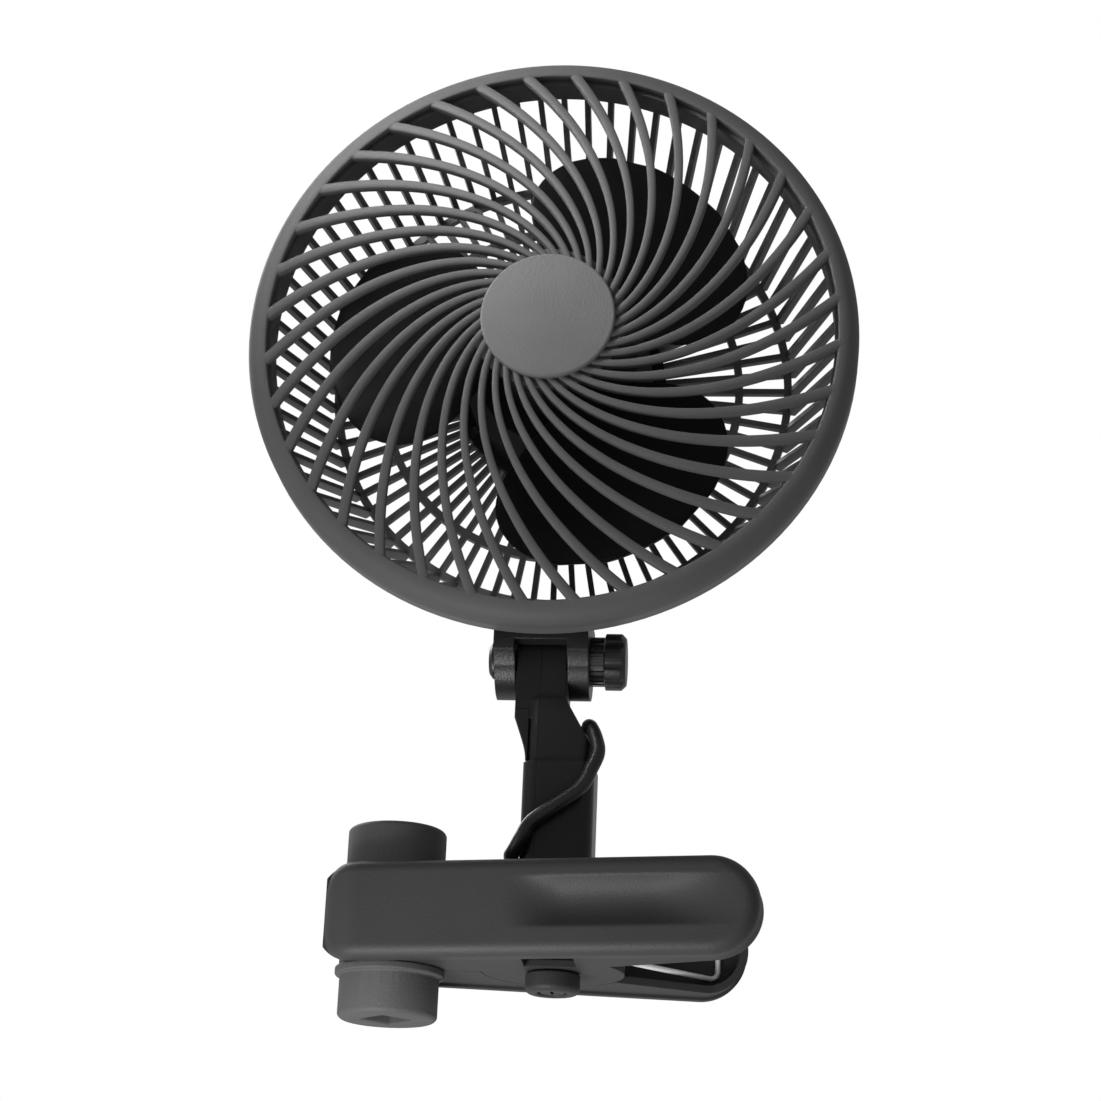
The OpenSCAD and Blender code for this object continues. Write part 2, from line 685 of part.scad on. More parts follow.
module front_grille() {
    color("#3a3b3d") head_place() {
        intersection() {
            rotate_extrude() dome_profile();
            translate([0, 0, -2*rim_r]) linear_extrude(2*rim_r + 2*dome_h)
                for (i = [0 : ribs - 1]) rotate(360*i/ribs) spiral_rib();
        }
        rotate_extrude() rim_profile();
        translate([0, 0, dome_h - rib_t]) rotate_extrude() {
            translate([disc_r - 1.5, 0]) square([1.5, rib_t]);
            translate([disc_r - 1.5, 0]) square([hub_r - disc_r + 1.5, rib_t - hub_drop]);
        }
    }
}

module grille_disc() {
    color("#4a4b4d") head_place() translate([0, 0, dome_h + seat]) rotate_extrude()
        polygon([[0, 0], [disc_r, 0], [disc_r, 0.7], [disc_r - 0.6, 1.3], [0, 1.9]]);
}

// Rear guard: rim ring with an inner wall, then a cone and back cut into fine ribs
module cone_profile() {
    polygon([[ring_in, ring_z + 1], [ring_in, ring_z], [kink_r - 1.6, back_z], [plate_hole, back_z],
        [plate_hole, back_z - guard_t], [kink_r + 0.6, back_z - guard_t], [ring_in + guard_t, ring_z],
        [ring_in + guard_t, ring_z + 1]]);
}

module rear_guard() {
    color("#2b2c2e") head_place() difference() {
        union() {
            intersection() {
                rotate_extrude() difference() {
                    cone_profile();
                    translate([0, back_z - 2*guard_t]) square([mount_r - 1, 4*guard_t]);
                }
                translate([0, 0, 2*back_z]) linear_extrude(-2*back_z) for (i = [0 : bars - 1])
                    rotate(360*i/bars) translate([mount_r - 2, -bar_w/2]) square([head_r, bar_w]);
            }
            rotate_extrude() {
                translate([head_r - rim_wall, ring_z]) square([rim_wall, ring_d - seat]);
                translate([ring_in, ring_z]) square([head_r - ring_in, guard_t]);
                translate([ring_in, ring_z]) square([guard_t, -ring_z - max(rib_t, rim_wall) - 0.7]);
            }
            for (r = [back_ring_r, kink_r - 2]) rotate_extrude() translate([r - 1.2, back_z - guard_t])
                square([2.4, guard_t]);
            translate([0, 0, back_z - guard_t]) linear_extrude(guard_t) difference() {
                circle(mount_r);
                circle(plate_hole + seat);
            }
        }
        motor_screw_holes();
    }
}

module guard_screws() {
    color("silver") head_place() for (i = [0 : 2]) rotate(90 + 120*i)
        translate([(ring_in + guard_t + head_r)/2, 0, ring_z - 1.2 - seat]) cylinder(r = 2, h = 1.2);
}

module motor_screw_holes() {
    for (i = [0 : 2]) rotate(90 + 120*i) translate([mount_r - 2, 0, back_z - guard_t - 2*flange_t])
        cylinder(r = screw_r + seat, h = guard_t + 4*flange_t);
}

// Motor: front shell, vented cover behind the guard, stator, rotor and shaft in two bearings
module motor_shell() {
    out = motor_r + motor_wall;
    shell_edge = 1.6*motor_wall;
    color("#262729") head_place() difference() {
        rotate_extrude() polygon([[bearing_r + seat, motor_nose], [out - shell_edge, motor_nose],
            [out, motor_nose - shell_edge],
            [out, back_z + flange_t], [mount_r, back_z + flange_t], [mount_r, back_z + seat],
            [motor_r, back_z + seat], [motor_r, motor_nose - motor_wall - 1.5],
            [bearing_r + motor_wall, motor_nose - motor_wall],
            [bearing_r + motor_wall, motor_nose - bearing_w],
            [bearing_r + seat, motor_nose - bearing_w]]);
        motor_screw_holes();
    }
}

module motor_cover() {
    out = motor_r + motor_wall;
    slots = 20;
    lip = back_z - guard_t - seat;
    tail = motor_tail - motor_wall;
    tail_round = 10;
    inner_round = 8;
    color("#262729") head_place() difference() {
        rotate_extrude() {
            difference() {
                union() {
                    translate([0, tail]) square([out - tail_round, lip - tail]);
                    translate([0, tail + tail_round]) square([out, lip - tail - tail_round]);
                    translate([out - tail_round, tail + tail_round]) circle(tail_round);
                    translate([0, lip - flange_t]) square([mount_r, flange_t]);
                }
                translate([0, motor_tail]) square([motor_r - inner_round, 2*motor_back]);
                translate([0, motor_tail + inner_round]) square([motor_r, 2*motor_back]);
                translate([motor_r - inner_round, motor_tail + inner_round]) circle(inner_round);
                translate([-2*out, 4*motor_tail]) square([2*out, -4*motor_tail]);
            }
            translate([bearing_r + seat, motor_tail - 0.5]) square([motor_wall, bearing_w + 0.5]);
        }
        for (i = [0 : slots - 1]) rotate(360*(i + 0.5)/slots) translate([motor_r - 5, -1, motor_tail + 9])
            cube([12, 2, motor_back - 14]);
        translate([0, -15, motor_tail - 2*motor_wall]) cylinder(r = 2.2, h = 4*motor_wall);
        motor_screw_holes();
    }
}

module cover_screws() {
    lip = back_z - guard_t - seat - flange_t;
    color("silver") head_place() for (i = [0 : 2]) rotate(90 + 120*i) translate([mount_r - 2, 0, 0]) {
        translate([0, 0, lip - 1]) cylinder(r = screw_r, h = 2*flange_t + guard_t);
        translate([0, 0, lip - 1.4 - seat]) cylinder(r = 1.9, h = 1.4);
    }
}

tail_room = 9;
nose_room = 8;
stator_z = motor_tail + tail_room;
stator_h = motor_nose - nose_room - stator_z;
module stator() {
    poles = 4;
    color("#8a5a35") head_place() translate([0, 0, stator_z]) linear_extrude(stator_h) difference() {
        circle(motor_r - run_gap/2);
        circle(rotor_r + run_gap);
        for (i = [0 : poles - 1]) rotate(360*(i + 0.5)/poles) translate([(rotor_r + motor_r)/2, 0])
            circle((motor_r - rotor_r)/4);
    }
}

module rotor() {
    color("#77797c") head_place() translate([0, 0, stator_z + 1]) linear_extrude(stator_h - 2) difference() {
        circle(rotor_r);
        circle(shaft_r + seat);
    }
}

hub_back = motor_nose + 2.2;
hub_front = hub_back + blade_d - 1;
module motor_shaft() {
    color("silver") head_place() translate([0, 0, motor_tail + 0.4])
        cylinder(r = shaft_r, h = hub_front + 4 - motor_tail - 0.4);
}

module bearing(z) {
    color("#b08d57") head_place() translate([0, 0, z]) linear_extrude(bearing_w - 0.1) difference() {
        circle(bearing_r);
        circle(shaft_r + fit);
    }
}

module front_bearing() {
    bearing(motor_nose - bearing_w);
}

module rear_bearing() {
    bearing(motor_tail + seat);
}

// Blades: petal plan, pitched from a leading edge in front to a trailing edge behind
blade_n = 8;
blade_half = 46;
function blade_span(r) = blade_half*sqrt(max(0.12, 1 - pow((r - 0.62*blade_r)/(0.42*blade_r), 2)));
function blade_point(i, j, top) = let (r = blade_hub_r - 2 + (blade_r - blade_hub_r + 2)*i/blade_n,
    f = j/blade_n - 0.5, a = 2*f*blade_span(r))
    [r*cos(a), r*sin(a), (hub_back + hub_front)/2 + (blade_d - 5)*sin(90*f*1.6)*blade_span(r)/blade_half/1.9
        + (top ? blade_t/2 : -blade_t/2)];
blade_row = blade_n + 1;
blade_sheet = blade_row*blade_row;
blade_points = [for (k = [0, 1]) for (i = [0 : blade_n]) for (j = [0 : blade_n]) blade_point(i, j, k == 1)];
function cell(i, j) = i*blade_row + j;
blade_faces = concat(
    [for (i = [0 : blade_n - 1]) for (j = [0 : blade_n - 1])
        each [[cell(i, j), cell(i + 1, j), cell(i, j + 1)],
            [cell(i, j + 1), cell(i + 1, j), cell(i + 1, j + 1)]]],
    [for (i = [0 : blade_n - 1]) for (j = [0 : blade_n - 1]) let (s = blade_sheet)
        each [[s + cell(i, j), s + cell(i, j + 1), s + cell(i + 1, j)],
            [s + cell(i, j + 1), s + cell(i + 1, j + 1), s + cell(i + 1, j)]]],
    [for (i = [0 : blade_n - 1]) let (s = blade_sheet, a = cell(i, 0), b = cell(i + 1, 0))
        each [[a, s + a, b], [b, s + a, s + b]]],
    [for (i = [0 : blade_n - 1]) let (s = blade_sheet, a = cell(i, blade_n), b = cell(i + 1, blade_n))
        each [[a, b, s + a], [b, s + b, s + a]]],
    [for (j = [0 : blade_n - 1]) let (s = blade_sheet, a = cell(0, j), b = cell(0, j + 1))
        each [[a, b, s + a], [b, s + b, s + a]]],
    [for (j = [0 : blade_n - 1]) let (s = blade_sheet, a = cell(blade_n, j), b = cell(blade_n, j + 1))
        each [[a, s + a, b], [b, s + a, s + b]]]);

module fan_blades() {
    color("#1f2022") head_place() difference() {
        union() {
            for (i = [0 : blades - 1]) rotate(55 + 360*i/blades) polyhedron(blade_points, blade_faces);
            rotate_extrude() polygon([[0, hub_back], [blade_hub_r, hub_back], [blade_hub_r, hub_front - 3],
                [blade_hub_r - 3, hub_front], [0, hub_front]]);
        }
        translate([0, 0, hub_back - 1]) cylinder(r = shaft_r + seat, h = blade_d + 2);
    }
}

module blade_nut() {
    color("#1f2022") head_place() translate([0, 0, hub_front + seat]) difference() {
        rotate_extrude() polygon([[0, 0], [7, 0], [7, 3], [4.5, 6], [0, 6]]);
        translate([0, 0, -1]) cylinder(r = shaft_r + seat, h = 5 + seat);
    }
}

module speed_knob() {
    z = motor_tail - motor_wall - run_gap;
    color("#2b2c2e") head_place() translate([0, -15, 0]) {
        difference() {
            translate([0, 0, z - 7]) rotate_extrude()
                polygon([[0, 0], [speed_r - 1, 0], [speed_r, 1], [speed_r, 7], [0, 7]]);
            for (s = [-1, 1]) translate([s*(speed_r + 1.6) - speed_r/2, -speed_r, z - 8])
                cube([speed_r, 2*speed_r, 6]);
        }
        translate([0, 0, z - 1]) cylinder(r = 2, h = motor_wall + 4);
    }
}

rear_lever();
rear_cover();
rear_jaw_pad();
pivot_pin();
spring_bush();
pivot_cap();
pivot_screw();
clip_spring();
front_lever();
front_cover();
front_jaw_pad();
post_body();
post_side();
post_screws();
motor_lead();
tilt_fork();
tilt_bolt();
tooth_ring();
tilt_knob();
front_grille();
grille_disc();
rear_guard();
guard_screws();
motor_shell();
motor_cover();
cover_screws();
stator();
rotor();
motor_shaft();
front_bearing();
rear_bearing();
fan_blades();
blade_nut();
speed_knob();
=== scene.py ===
"""Dresses the pole-clip fan: guard, blades, covers, spring and lead, moulded finishes and a pale studio."""
import json
import math

import bmesh
import bpy
import numpy as np
from bpy.props import FloatProperty, FloatVectorProperty, IntProperty, PointerProperty
from mathutils import Matrix, Vector


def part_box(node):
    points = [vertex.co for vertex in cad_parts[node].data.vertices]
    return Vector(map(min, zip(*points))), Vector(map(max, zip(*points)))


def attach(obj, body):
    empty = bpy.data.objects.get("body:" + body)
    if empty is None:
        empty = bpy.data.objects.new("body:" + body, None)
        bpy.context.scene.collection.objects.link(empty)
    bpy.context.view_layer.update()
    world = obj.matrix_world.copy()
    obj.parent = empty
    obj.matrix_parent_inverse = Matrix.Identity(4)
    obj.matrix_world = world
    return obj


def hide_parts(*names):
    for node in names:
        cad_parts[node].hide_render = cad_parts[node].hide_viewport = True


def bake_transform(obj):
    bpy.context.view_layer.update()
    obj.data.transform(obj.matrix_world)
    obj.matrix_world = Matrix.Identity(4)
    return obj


bl_info = {
    "name": "Clip fan dressing",
    "version": (1, 0, 0),
    "blender": (4, 5, 0),
    "location": "View3D > Sidebar > Clip fan",
    "description": "Smooth pieces, moulded finishes and a pale studio for the pole-clip fan",
    "category": "Object",
}

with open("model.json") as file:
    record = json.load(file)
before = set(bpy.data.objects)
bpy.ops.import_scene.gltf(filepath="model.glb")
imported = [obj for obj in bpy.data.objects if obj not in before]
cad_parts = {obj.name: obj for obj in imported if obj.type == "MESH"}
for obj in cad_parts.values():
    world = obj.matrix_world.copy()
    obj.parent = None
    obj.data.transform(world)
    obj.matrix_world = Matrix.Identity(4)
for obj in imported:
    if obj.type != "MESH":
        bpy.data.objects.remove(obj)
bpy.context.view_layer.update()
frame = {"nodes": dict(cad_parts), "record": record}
MM = 0.001

PIVOT = 46 * MM             # x of the clip's pivot pin
FACE = 23.5 * MM            # distance of a cover's outer face from the pole's axis
SPREAD = math.radians(10)   # lean of each lever away from the middle plane
LEVER_H = 27 * MM           # height of a lever and of its cover
COVER_D = 6 * MM            # thickness of a cover
DOME_H = 8 * MM             # rise of the front guard from rim to hub
SEAT_GAP = 0.02 * MM        # clearance between touching mouldings
WELD = 1e-7                 # points of a new piece closer than this are one
CAD_WELD = 2e-6             # the same for a copy of a node
POST_HALF_W = 10.25 * MM    # half the post's width
POST_HALF_D = 10.5 * MM     # half the post's depth

# Scales of the finishes' patterns, in cells for each metre.
CLOUDS, GRAIN, PITS, RUBS, SPECKS = 45.0, 2600.0, 1500.0, 160.0, 380.0
DRAWN_LINES, STAINS, BLOOM, WIPES = 1800.0, 120.0, 220.0, 1900.0
FLOOR_CLOUDS = 4.0

DUST = (0.34, 0.33, 0.32, 1.0)
BLACKENED = (0.05, 0.05, 0.052)
PALE_WIRE = (0.92, 0.92, 0.92)
COPPER = (0.55, 0.30, 0.16)
ALUMINIUM = (0.55, 0.55, 0.56)
BRONZE = (0.60, 0.43, 0.20)

CAMERA_PLACE = (0.10672, -0.70765, -0.14335)
CAMERA_TURN = (19.827, -5.362, 2.422)   # pitch, yaw and roll in degrees

# Each lamp: name, place, the point it is aimed at, width, and a spot's cone in degrees.
LAMPS = (
    ("key", (-0.13, -0.16, 0.33), (0.02, -0.03, 0.22), 0.12, 42),
    ("head", (-0.15, -0.75, -0.35), (0.03, -0.03, 0.19), 0.20, 14),
    ("low", (-0.06, -0.15, -0.18), (0.03, -0.03, 0.0), 0.12, None),
    ("side", (-0.40, -0.28, 0.0), (0.0, -0.02, 0.0), 0.2, None),
    ("back", (-0.50, 0.55, 0.65), (0.02, -0.02, 0.18), 0.5, None),
)


def head_middle():
    """Middle of the head at the rim's front, worked out from the centre disc's box."""
    low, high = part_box("grille_disc")
    return Vector(((low.x + high.x) / 2, high.y + DOME_H + SEAT_GAP, (low.z + high.z) / 2))


class FanSizes(bpy.types.PropertyGroup):
    """Sizes of the pieces that are worked out here."""

    rim_radius: FloatProperty(name="Rim radius", description="Outer radius of the guard", default=90.5 * MM,
                              subtype="DISTANCE", unit="LENGTH")
    rim_round: FloatProperty(name="Rim rounding", description="Radius of the bull-nosed rim",
                             default=5.6 * MM, subtype="DISTANCE", unit="LENGTH")
    hub_radius: FloatProperty(name="Hub radius", description="Radius of the ring round the centre disc",
                              default=22.5 * MM, subtype="DISTANCE", unit="LENGTH")
    dome_height: FloatProperty(name="Dome height", description="How far the ribs rise from rim to hub",
                               default=DOME_H, subtype="DISTANCE", unit="LENGTH")
    ribs: IntProperty(name="Spiral ribs", description="Number of spiral ribs", default=36, min=12, max=60)
    rib_turn: FloatProperty(name="Rib turn", description="Turn of a rib for each e-fold of radius",
                            default=math.radians(43), subtype="ANGLE", unit="ROTATION")
    rib_depth: FloatProperty(name="Rib depth", description="Depth of a rib, front to back", default=3 * MM,
                             subtype="DISTANCE", unit="LENGTH")
    blade_radius: FloatProperty(name="Blade radius", description="Tip radius of the blades", default=68 * MM,
                                subtype="DISTANCE", unit="LENGTH")
    wire_radius: FloatProperty(name="Wire radius", description="Radius of the spring wire", default=0.8 * MM,
                               subtype="DISTANCE", unit="LENGTH")
    lead_width: FloatProperty(name="Lead diameter", description="Diameter of the motor lead",
                              default=4.2 * MM, subtype="DISTANCE", unit="LENGTH")
    scoop_depth: FloatProperty(name="Scoop depth", description="Depth of the finger scoop in a cover",
                               default=3.9 * MM, subtype="DISTANCE", unit="LENGTH")


class FanFinishes(bpy.types.PropertyGroup):
    """Colours of the mouldings and metals."""

    clip_grey: FloatVectorProperty(name="Clip", description="Charcoal of the clip and its covers", size=3,
                                   default=(0.030, 0.030, 0.031), subtype="COLOR")
    guard_grey: FloatVectorProperty(name="Guard", description="Charcoal of the front guard", size=3,
                                    default=(0.070, 0.070, 0.071), subtype="COLOR")
    disc_grey: FloatVectorProperty(name="Disc", description="Grey of the centre disc", size=3,
                                   default=(0.100, 0.100, 0.101), subtype="COLOR")
    black: FloatVectorProperty(name="Black", description="Black of the post, motor and blades", size=3,
                               default=(0.0065, 0.0065, 0.0068), subtype="COLOR")
    jaw_grey: FloatVectorProperty(name="Jaw", description="Soft grey of the jaw sleeve", size=3,
                                  default=(0.062, 0.062, 0.063), subtype="COLOR")
    steel: FloatVectorProperty(name="Steel", description="Bright steel of pins and screws", size=3,
                               default=(0.52, 0.52, 0.53), subtype="COLOR")


class FanStudio(bpy.types.PropertyGroup):
    """Camera and light."""

    lens: FloatProperty(name="Lens", description="Focal length on a 36 mm sensor", default=83.41,
                        min=10, max=300)
    floor_drop: FloatProperty(name="Floor", description="Height of the floor", default=-0.30,
                              subtype="DISTANCE", unit="LENGTH")
    floor_grey: FloatVectorProperty(name="Floor colour", description="Pale colour of the floor", size=3,
                                    default=(0.82, 0.82, 0.82), subtype="COLOR")
    floor_lift: FloatProperty(name="Floor lift", description="How far the floor is lifted towards white",
                              default=0.30)
    room_light: FloatProperty(name="Room light", description="Strength of the even light all round",
                              default=0.40)
    key_power: FloatProperty(name="Key light", description="Power of the key light", default=6.5,
                             unit="POWER")
    head_power: FloatProperty(name="Head light", description="Power of the light on the guard", default=9.0,
                              unit="POWER")
    low_power: FloatProperty(name="Low light", description="Power of the light below", default=0.78,
                             unit="POWER")
    side_power: FloatProperty(name="Side light", description="Power of the light from the left", default=0.4,
                              unit="POWER")
    back_power: FloatProperty(name="Back light", description="Power of the light behind", default=4.0,
                              unit="POWER")


class Value:
    """A shader number: arithmetic on it adds Math nodes to its tree."""

    def __init__(self, tree, socket):
        self.tree = tree
        self.socket = socket

    def _math(self, operation, first, second):
        node = add_node(self.tree, "ShaderNodeMath", {"operation": operation}, {0: first, 1: second})
        return Value(self.tree, node.outputs[0])

    def __add__(self, other):
        return self._math("ADD", self, other)

    __radd__ = __add__

    def __sub__(self, other):
        return self._math("SUBTRACT", self, other)

    def __rsub__(self, other):
        return self._math("SUBTRACT", other, self)

    def __mul__(self, other):
        return self._math("MULTIPLY", self, other)

    __rmul__ = __mul__

    def __pow__(self, other):
        return self._math("POWER", self, other)

    def atleast(self, other):
        return self._math("MAXIMUM", self, other)

    def atmost(self, other):
        return self._math("MINIMUM", self, other)


def add_node(tree, kind, settings=None, inputs=None):
    """Adds a node, sets its settings, then its sockets: a Value or socket is linked, anything else is set."""
    node = tree.nodes.new(kind)
    for name, value in (settings or {}).items():
        setattr(node, name, value)
    for name, value in (inputs or {}).items():
        socket = node.inputs[name]
        if isinstance(value, Value):
            tree.links.new(value.socket, socket)
        elif isinstance(value, bpy.types.NodeSocket):
            tree.links.new(value, socket)
        else:
            socket.default_value = value
    return node


def new_finish(name):
    """An empty material with its tree, output and Principled shader."""
    material = bpy.data.materials.new(name)
    material.use_nodes = True
    tree = material.node_tree
    tree.nodes.clear()
    shader = add_node(tree, "ShaderNodeBsdfPrincipled")
    output = add_node(tree, "ShaderNodeOutputMaterial")
    tree.links.new(shader.outputs[0], output.inputs[0])
    return material, tree, shader


def noise(tree, place, scale, detail=3.0, rough=0.55):
    """Noise from 0 to 1 on the given coordinates; scale is in cells for each metre."""
    node = add_node(tree, "ShaderNodeTexNoise", None,
                    {"Vector": place, "Scale": scale, "Detail": detail, "Roughness": rough})
    return Value(tree, node.outputs[0])


def rgba(colour, factor=1.0):
    """A colour times a factor, with full alpha."""
    return (colour[0] * factor, colour[1] * factor, colour[2] * factor, 1.0)


def blend_colours(tree, mask, dark, light):
    """The first colour where the mask is 0, the second where it is 1."""
    node = add_node(tree, "ShaderNodeMix", {"data_type": "RGBA"}, {0: mask, 6: dark, 7: light})
    return node.outputs[2]


def brighter(colour, factor, lift=0.0):
    """A colour times a factor, lifted a little and held below white."""
    return rgba([min(1.0, c * factor + lift) for c in colour])


def soft_edges(tree, radius, gain=3.0):
    """Rounded-edge normal, and a mask that is 1 on a sharp edge and 0 on a flat face."""
    bevel = add_node(tree, "ShaderNodeBevel", {"samples": 4}, {"Radius": radius})
    normal = add_node(tree, "ShaderNodeNewGeometry").outputs["Normal"]
    dot = add_node(tree, "ShaderNodeVectorMath", {"operation": "DOT_PRODUCT"},
                   {0: bevel.outputs[0], 1: normal})
    mask = ((1 - Value(tree, dot.outputs["Value"])) * gain).atmost(1.0).atleast(0.0)
    return bevel.outputs[0], mask


def bump_of(tree, height, depth, strength, normal=None):
    """Normal of a relief: a height from 0 to 1 times its depth in metres, over a given normal."""
    sockets = {"Strength": strength, "Distance": depth, "Height": height}
    if normal is not None:
        sockets["Normal"] = normal
    return add_node(tree, "ShaderNodeBump", None, sockets).outputs[0]


def feed(tree, shader, colour, rough, normal):
    """Links the colour, roughness and normal of a finish to its shader."""
    tree.links.new(colour, shader.inputs["Base Color"])
    tree.links.new(rough.socket, shader.inputs["Roughness"])
    tree.links.new(normal, shader.inputs["Normal"])


def moulded_plastic(name, colour, rough, grain=0.00005, edge=0.0005, specular=0.22, coat=0.0, worn=1.5):
    """Spark-grained moulding: cloudy colour, fine pits in the bump, rubbed and lighter edges, dust on top."""
    material, tree, shader = new_finish(name)
    place = add_node(tree, "ShaderNodeTexCoord").outputs["Object"]
    cloud = noise(tree, place, CLOUDS, 4.0)
    fine = noise(tree, place, GRAIN, 2.0, 0.6)
    pits = add_node(tree, "ShaderNodeTexVoronoi", {"feature": "F1"}, {"Vector": place, "Scale": PITS})
    pit = Value(tree, pits.outputs["Distance"])
    normal, rim = soft_edges(tree, edge)
    body = blend_colours(tree, cloud * 0.7 + fine * 0.3, rgba(colour, 0.80), rgba(colour, 1.22))
    rubbed = (rim * noise(tree, place, RUBS, 2.0) * worn).atmost(1.0)
    shown = blend_colours(tree, rubbed * 0.5, body, brighter(colour, 1.9, 0.015))
    facing = add_node(tree, "ShaderNodeSeparateXYZ", None,
                      {0: add_node(tree, "ShaderNodeNewGeometry").outputs["Normal"]})
    upward = Value(tree, facing.outputs["Z"]).atleast(0.0) ** 4.0
    dust = upward * noise(tree, place, SPECKS, 4.0) * 0.10
    shown = blend_colours(tree, dust, shown, DUST)
    feed(tree, shader, shown, cloud * 0.12 + fine * 0.08 + (rough - 0.10) - rubbed * 0.08,
         bump_of(tree, fine * 0.6 + pit * 0.7, grain, 1.0, normal))
    shader.inputs["Specular IOR Level"].default_value = specular
    shader.inputs["Coat Weight"].default_value = coat
    shader.inputs["Coat Roughness"].default_value = 0.25
    return material


def drawn_metal(name, colour, rough, stretch=(1.0, 1.0, 1.0), edge=0.0003, metal=1.0):
    """Drawn or turned metal: fine lines along one axis, small stains and softened edges."""
    material, tree, shader = new_finish(name)
    place = add_node(tree, "ShaderNodeTexCoord").outputs["Object"]
    along = add_node(tree, "ShaderNodeMapping", None, {"Vector": place, "Scale": stretch}).outputs[0]
    lines = noise(tree, along, DRAWN_LINES, 3.0)
    stain = noise(tree, place, STAINS, 4.0)
    normal, rim = soft_edges(tree, edge)
    shade = blend_colours(tree, stain, rgba(colour, 0.72), brighter(colour, 1.05))
    shown = blend_colours(tree, rim * 0.4, shade, brighter(colour, 1.15))
    feed(tree, shader, shown, lines * 0.16 + stain * 0.10 + (rough - 0.12),
         bump_of(tree, lines, 0.00002, 0.6, normal))
    shader.inputs["Metallic"].default_value = metal
    return material


def rubber_jacket(name, colour):
    """Lead jacket: soft black with a slight sheen, fine wipe marks and a dusty bloom."""
    material, tree, shader = new_finish(name)
    place = add_node(tree, "ShaderNodeTexCoord").outputs["Object"]
    bloom = noise(tree, place, BLOOM, 4.0)
    wipe = noise(tree, place, WIPES, 2.0)
    shown = blend_colours(tree, bloom * 0.5, rgba(colour, 0.8), rgba(colour, 1.6))
    feed(tree, shader, shown, bloom * 0.20 + wipe * 0.06 + 0.26,
         bump_of(tree, wipe * 0.7 + bloom * 0.3, 0.00004, 0.7))
    shader.inputs["Specular IOR Level"].default_value = 0.30
    return material


def white_room(tree, gloss=0.5):
    """1 for rays that show the surroundings (camera, some glossy, transmission), 0 for rays that light."""
    rays = add_node(tree, "ShaderNodeLightPath")
    camera, glossy, through = (Value(tree, rays.outputs[name]) for name in (
        "Is Camera Ray", "Is Glossy Ray", "Is Transmission Ray"))
    return (camera + glossy * gloss + through).atmost(1.0)


def grid_faces(rows, columns, wrap_rows=False, wrap_columns=False):
    """Quads of a grid of points, row by row; a wrapped side joins its last line to its first."""
    i, j = np.meshgrid(np.arange(rows if wrap_rows else rows - 1),
                       np.arange(columns if wrap_columns else columns - 1), indexing="ij")
    down, right = (i + 1) % rows, (j + 1) % columns
    here, below = i * columns, down * columns
    return np.stack([here + j, here + right, below + right, below + j], -1).reshape(-1, 4)


def close_mesh(mesh, reach, flat=None):
    """Merges points closer than reach and drops loose edges; a flat angle joins faces in one plane."""
    weld = bmesh.new()
    weld.from_mesh(mesh)
    bmesh.ops.remove_doubles(weld, verts=weld.verts, dist=reach)
    loose = [edge for edge in weld.edges if not edge.link_faces]
    bmesh.ops.delete(weld, geom=loose, context="EDGES")
    if flat:
        bmesh.ops.dissolve_limit(weld, angle_limit=flat, verts=weld.verts, edges=weld.edges)
    weld.to_mesh(mesh)
    weld.free()
    mesh.update()


def add_piece(name, patches, body, nodes, material, sharp=40.0):
    """Joins patches of (points, quads) into one mesh that stands for the nodes.

    It rides on a body if one is given. Edges sharper than the given angle in degrees stay sharp.
    """
    starts = np.cumsum([0] + [len(points) for points, _ in patches])
    points = np.concatenate([points for points, _ in patches])
    quads = np.concatenate([quads + start for (_, quads), start in zip(patches, starts)])
    mesh = bpy.data.meshes.new(name)
    mesh.from_pydata(points.tolist(), [], quads.tolist())
    close_mesh(mesh, WELD)
    piece = bpy.data.objects.new(name, mesh)
    bpy.context.scene.collection.objects.link(piece)
    mesh.shade_smooth()
    mesh.set_sharp_from_angle(angle=math.radians(sharp))
    mesh.materials.append(material)
    if body:
        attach(piece, body)
    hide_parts(*nodes)
    return piece


def head_to_frame(points):
    """Head coordinates (x right, y up, z forward out of the rim) to the part's frame."""
    middle = head_middle()
    x, y, z = np.moveaxis(points, -1, 0)
    return np.stack([middle.x + x, middle.y - z, middle.z + y], -1)


def lathe(profile, steps=160):
    """A closed profile of (radius, height) turned once round the head's axis: x = r cos a, y = r sin a."""
    profile = np.asarray(profile, float)
    turn = np.linspace(0, 2 * np.pi, steps, endpoint=False)
    r, z = profile[:, 0], profile[:, 1]
    points = np.stack([np.outer(np.cos(turn), r), np.outer(np.sin(turn), r),
                       np.outer(np.ones(steps), z)], -1)
    return points.reshape(-1, 3), grid_faces(steps, len(profile), True, True)


def arc(centre, radius, start, end, steps=10):
    """Points on an arc, angles in degrees."""
    a = np.radians(np.linspace(start, end, steps))
    return np.stack([centre[0] + radius * np.cos(a), centre[1] + radius * np.sin(a)], -1)


def carried_sides(path):
    """Unit tangents of a path and a side vector carried along it without twist, by parallel transport."""
    tangent = np.gradient(path, axis=0)
    tangent /= np.linalg.norm(tangent, axis=1, keepdims=True)
    side = np.empty_like(path)
    first = np.cross(tangent[0], (0, 0, 1) if abs(tangent[0, 2]) < 0.9 else (1, 0, 0))
    side[0] = first / np.linalg.norm(first)
    for k in range(1, len(path)):
        turned = side[k - 1] - tangent[k] * (side[k - 1] @ tangent[k])
        side[k] = turned / np.linalg.norm(turned)
    return tangent, side, np.cross(tangent, side)


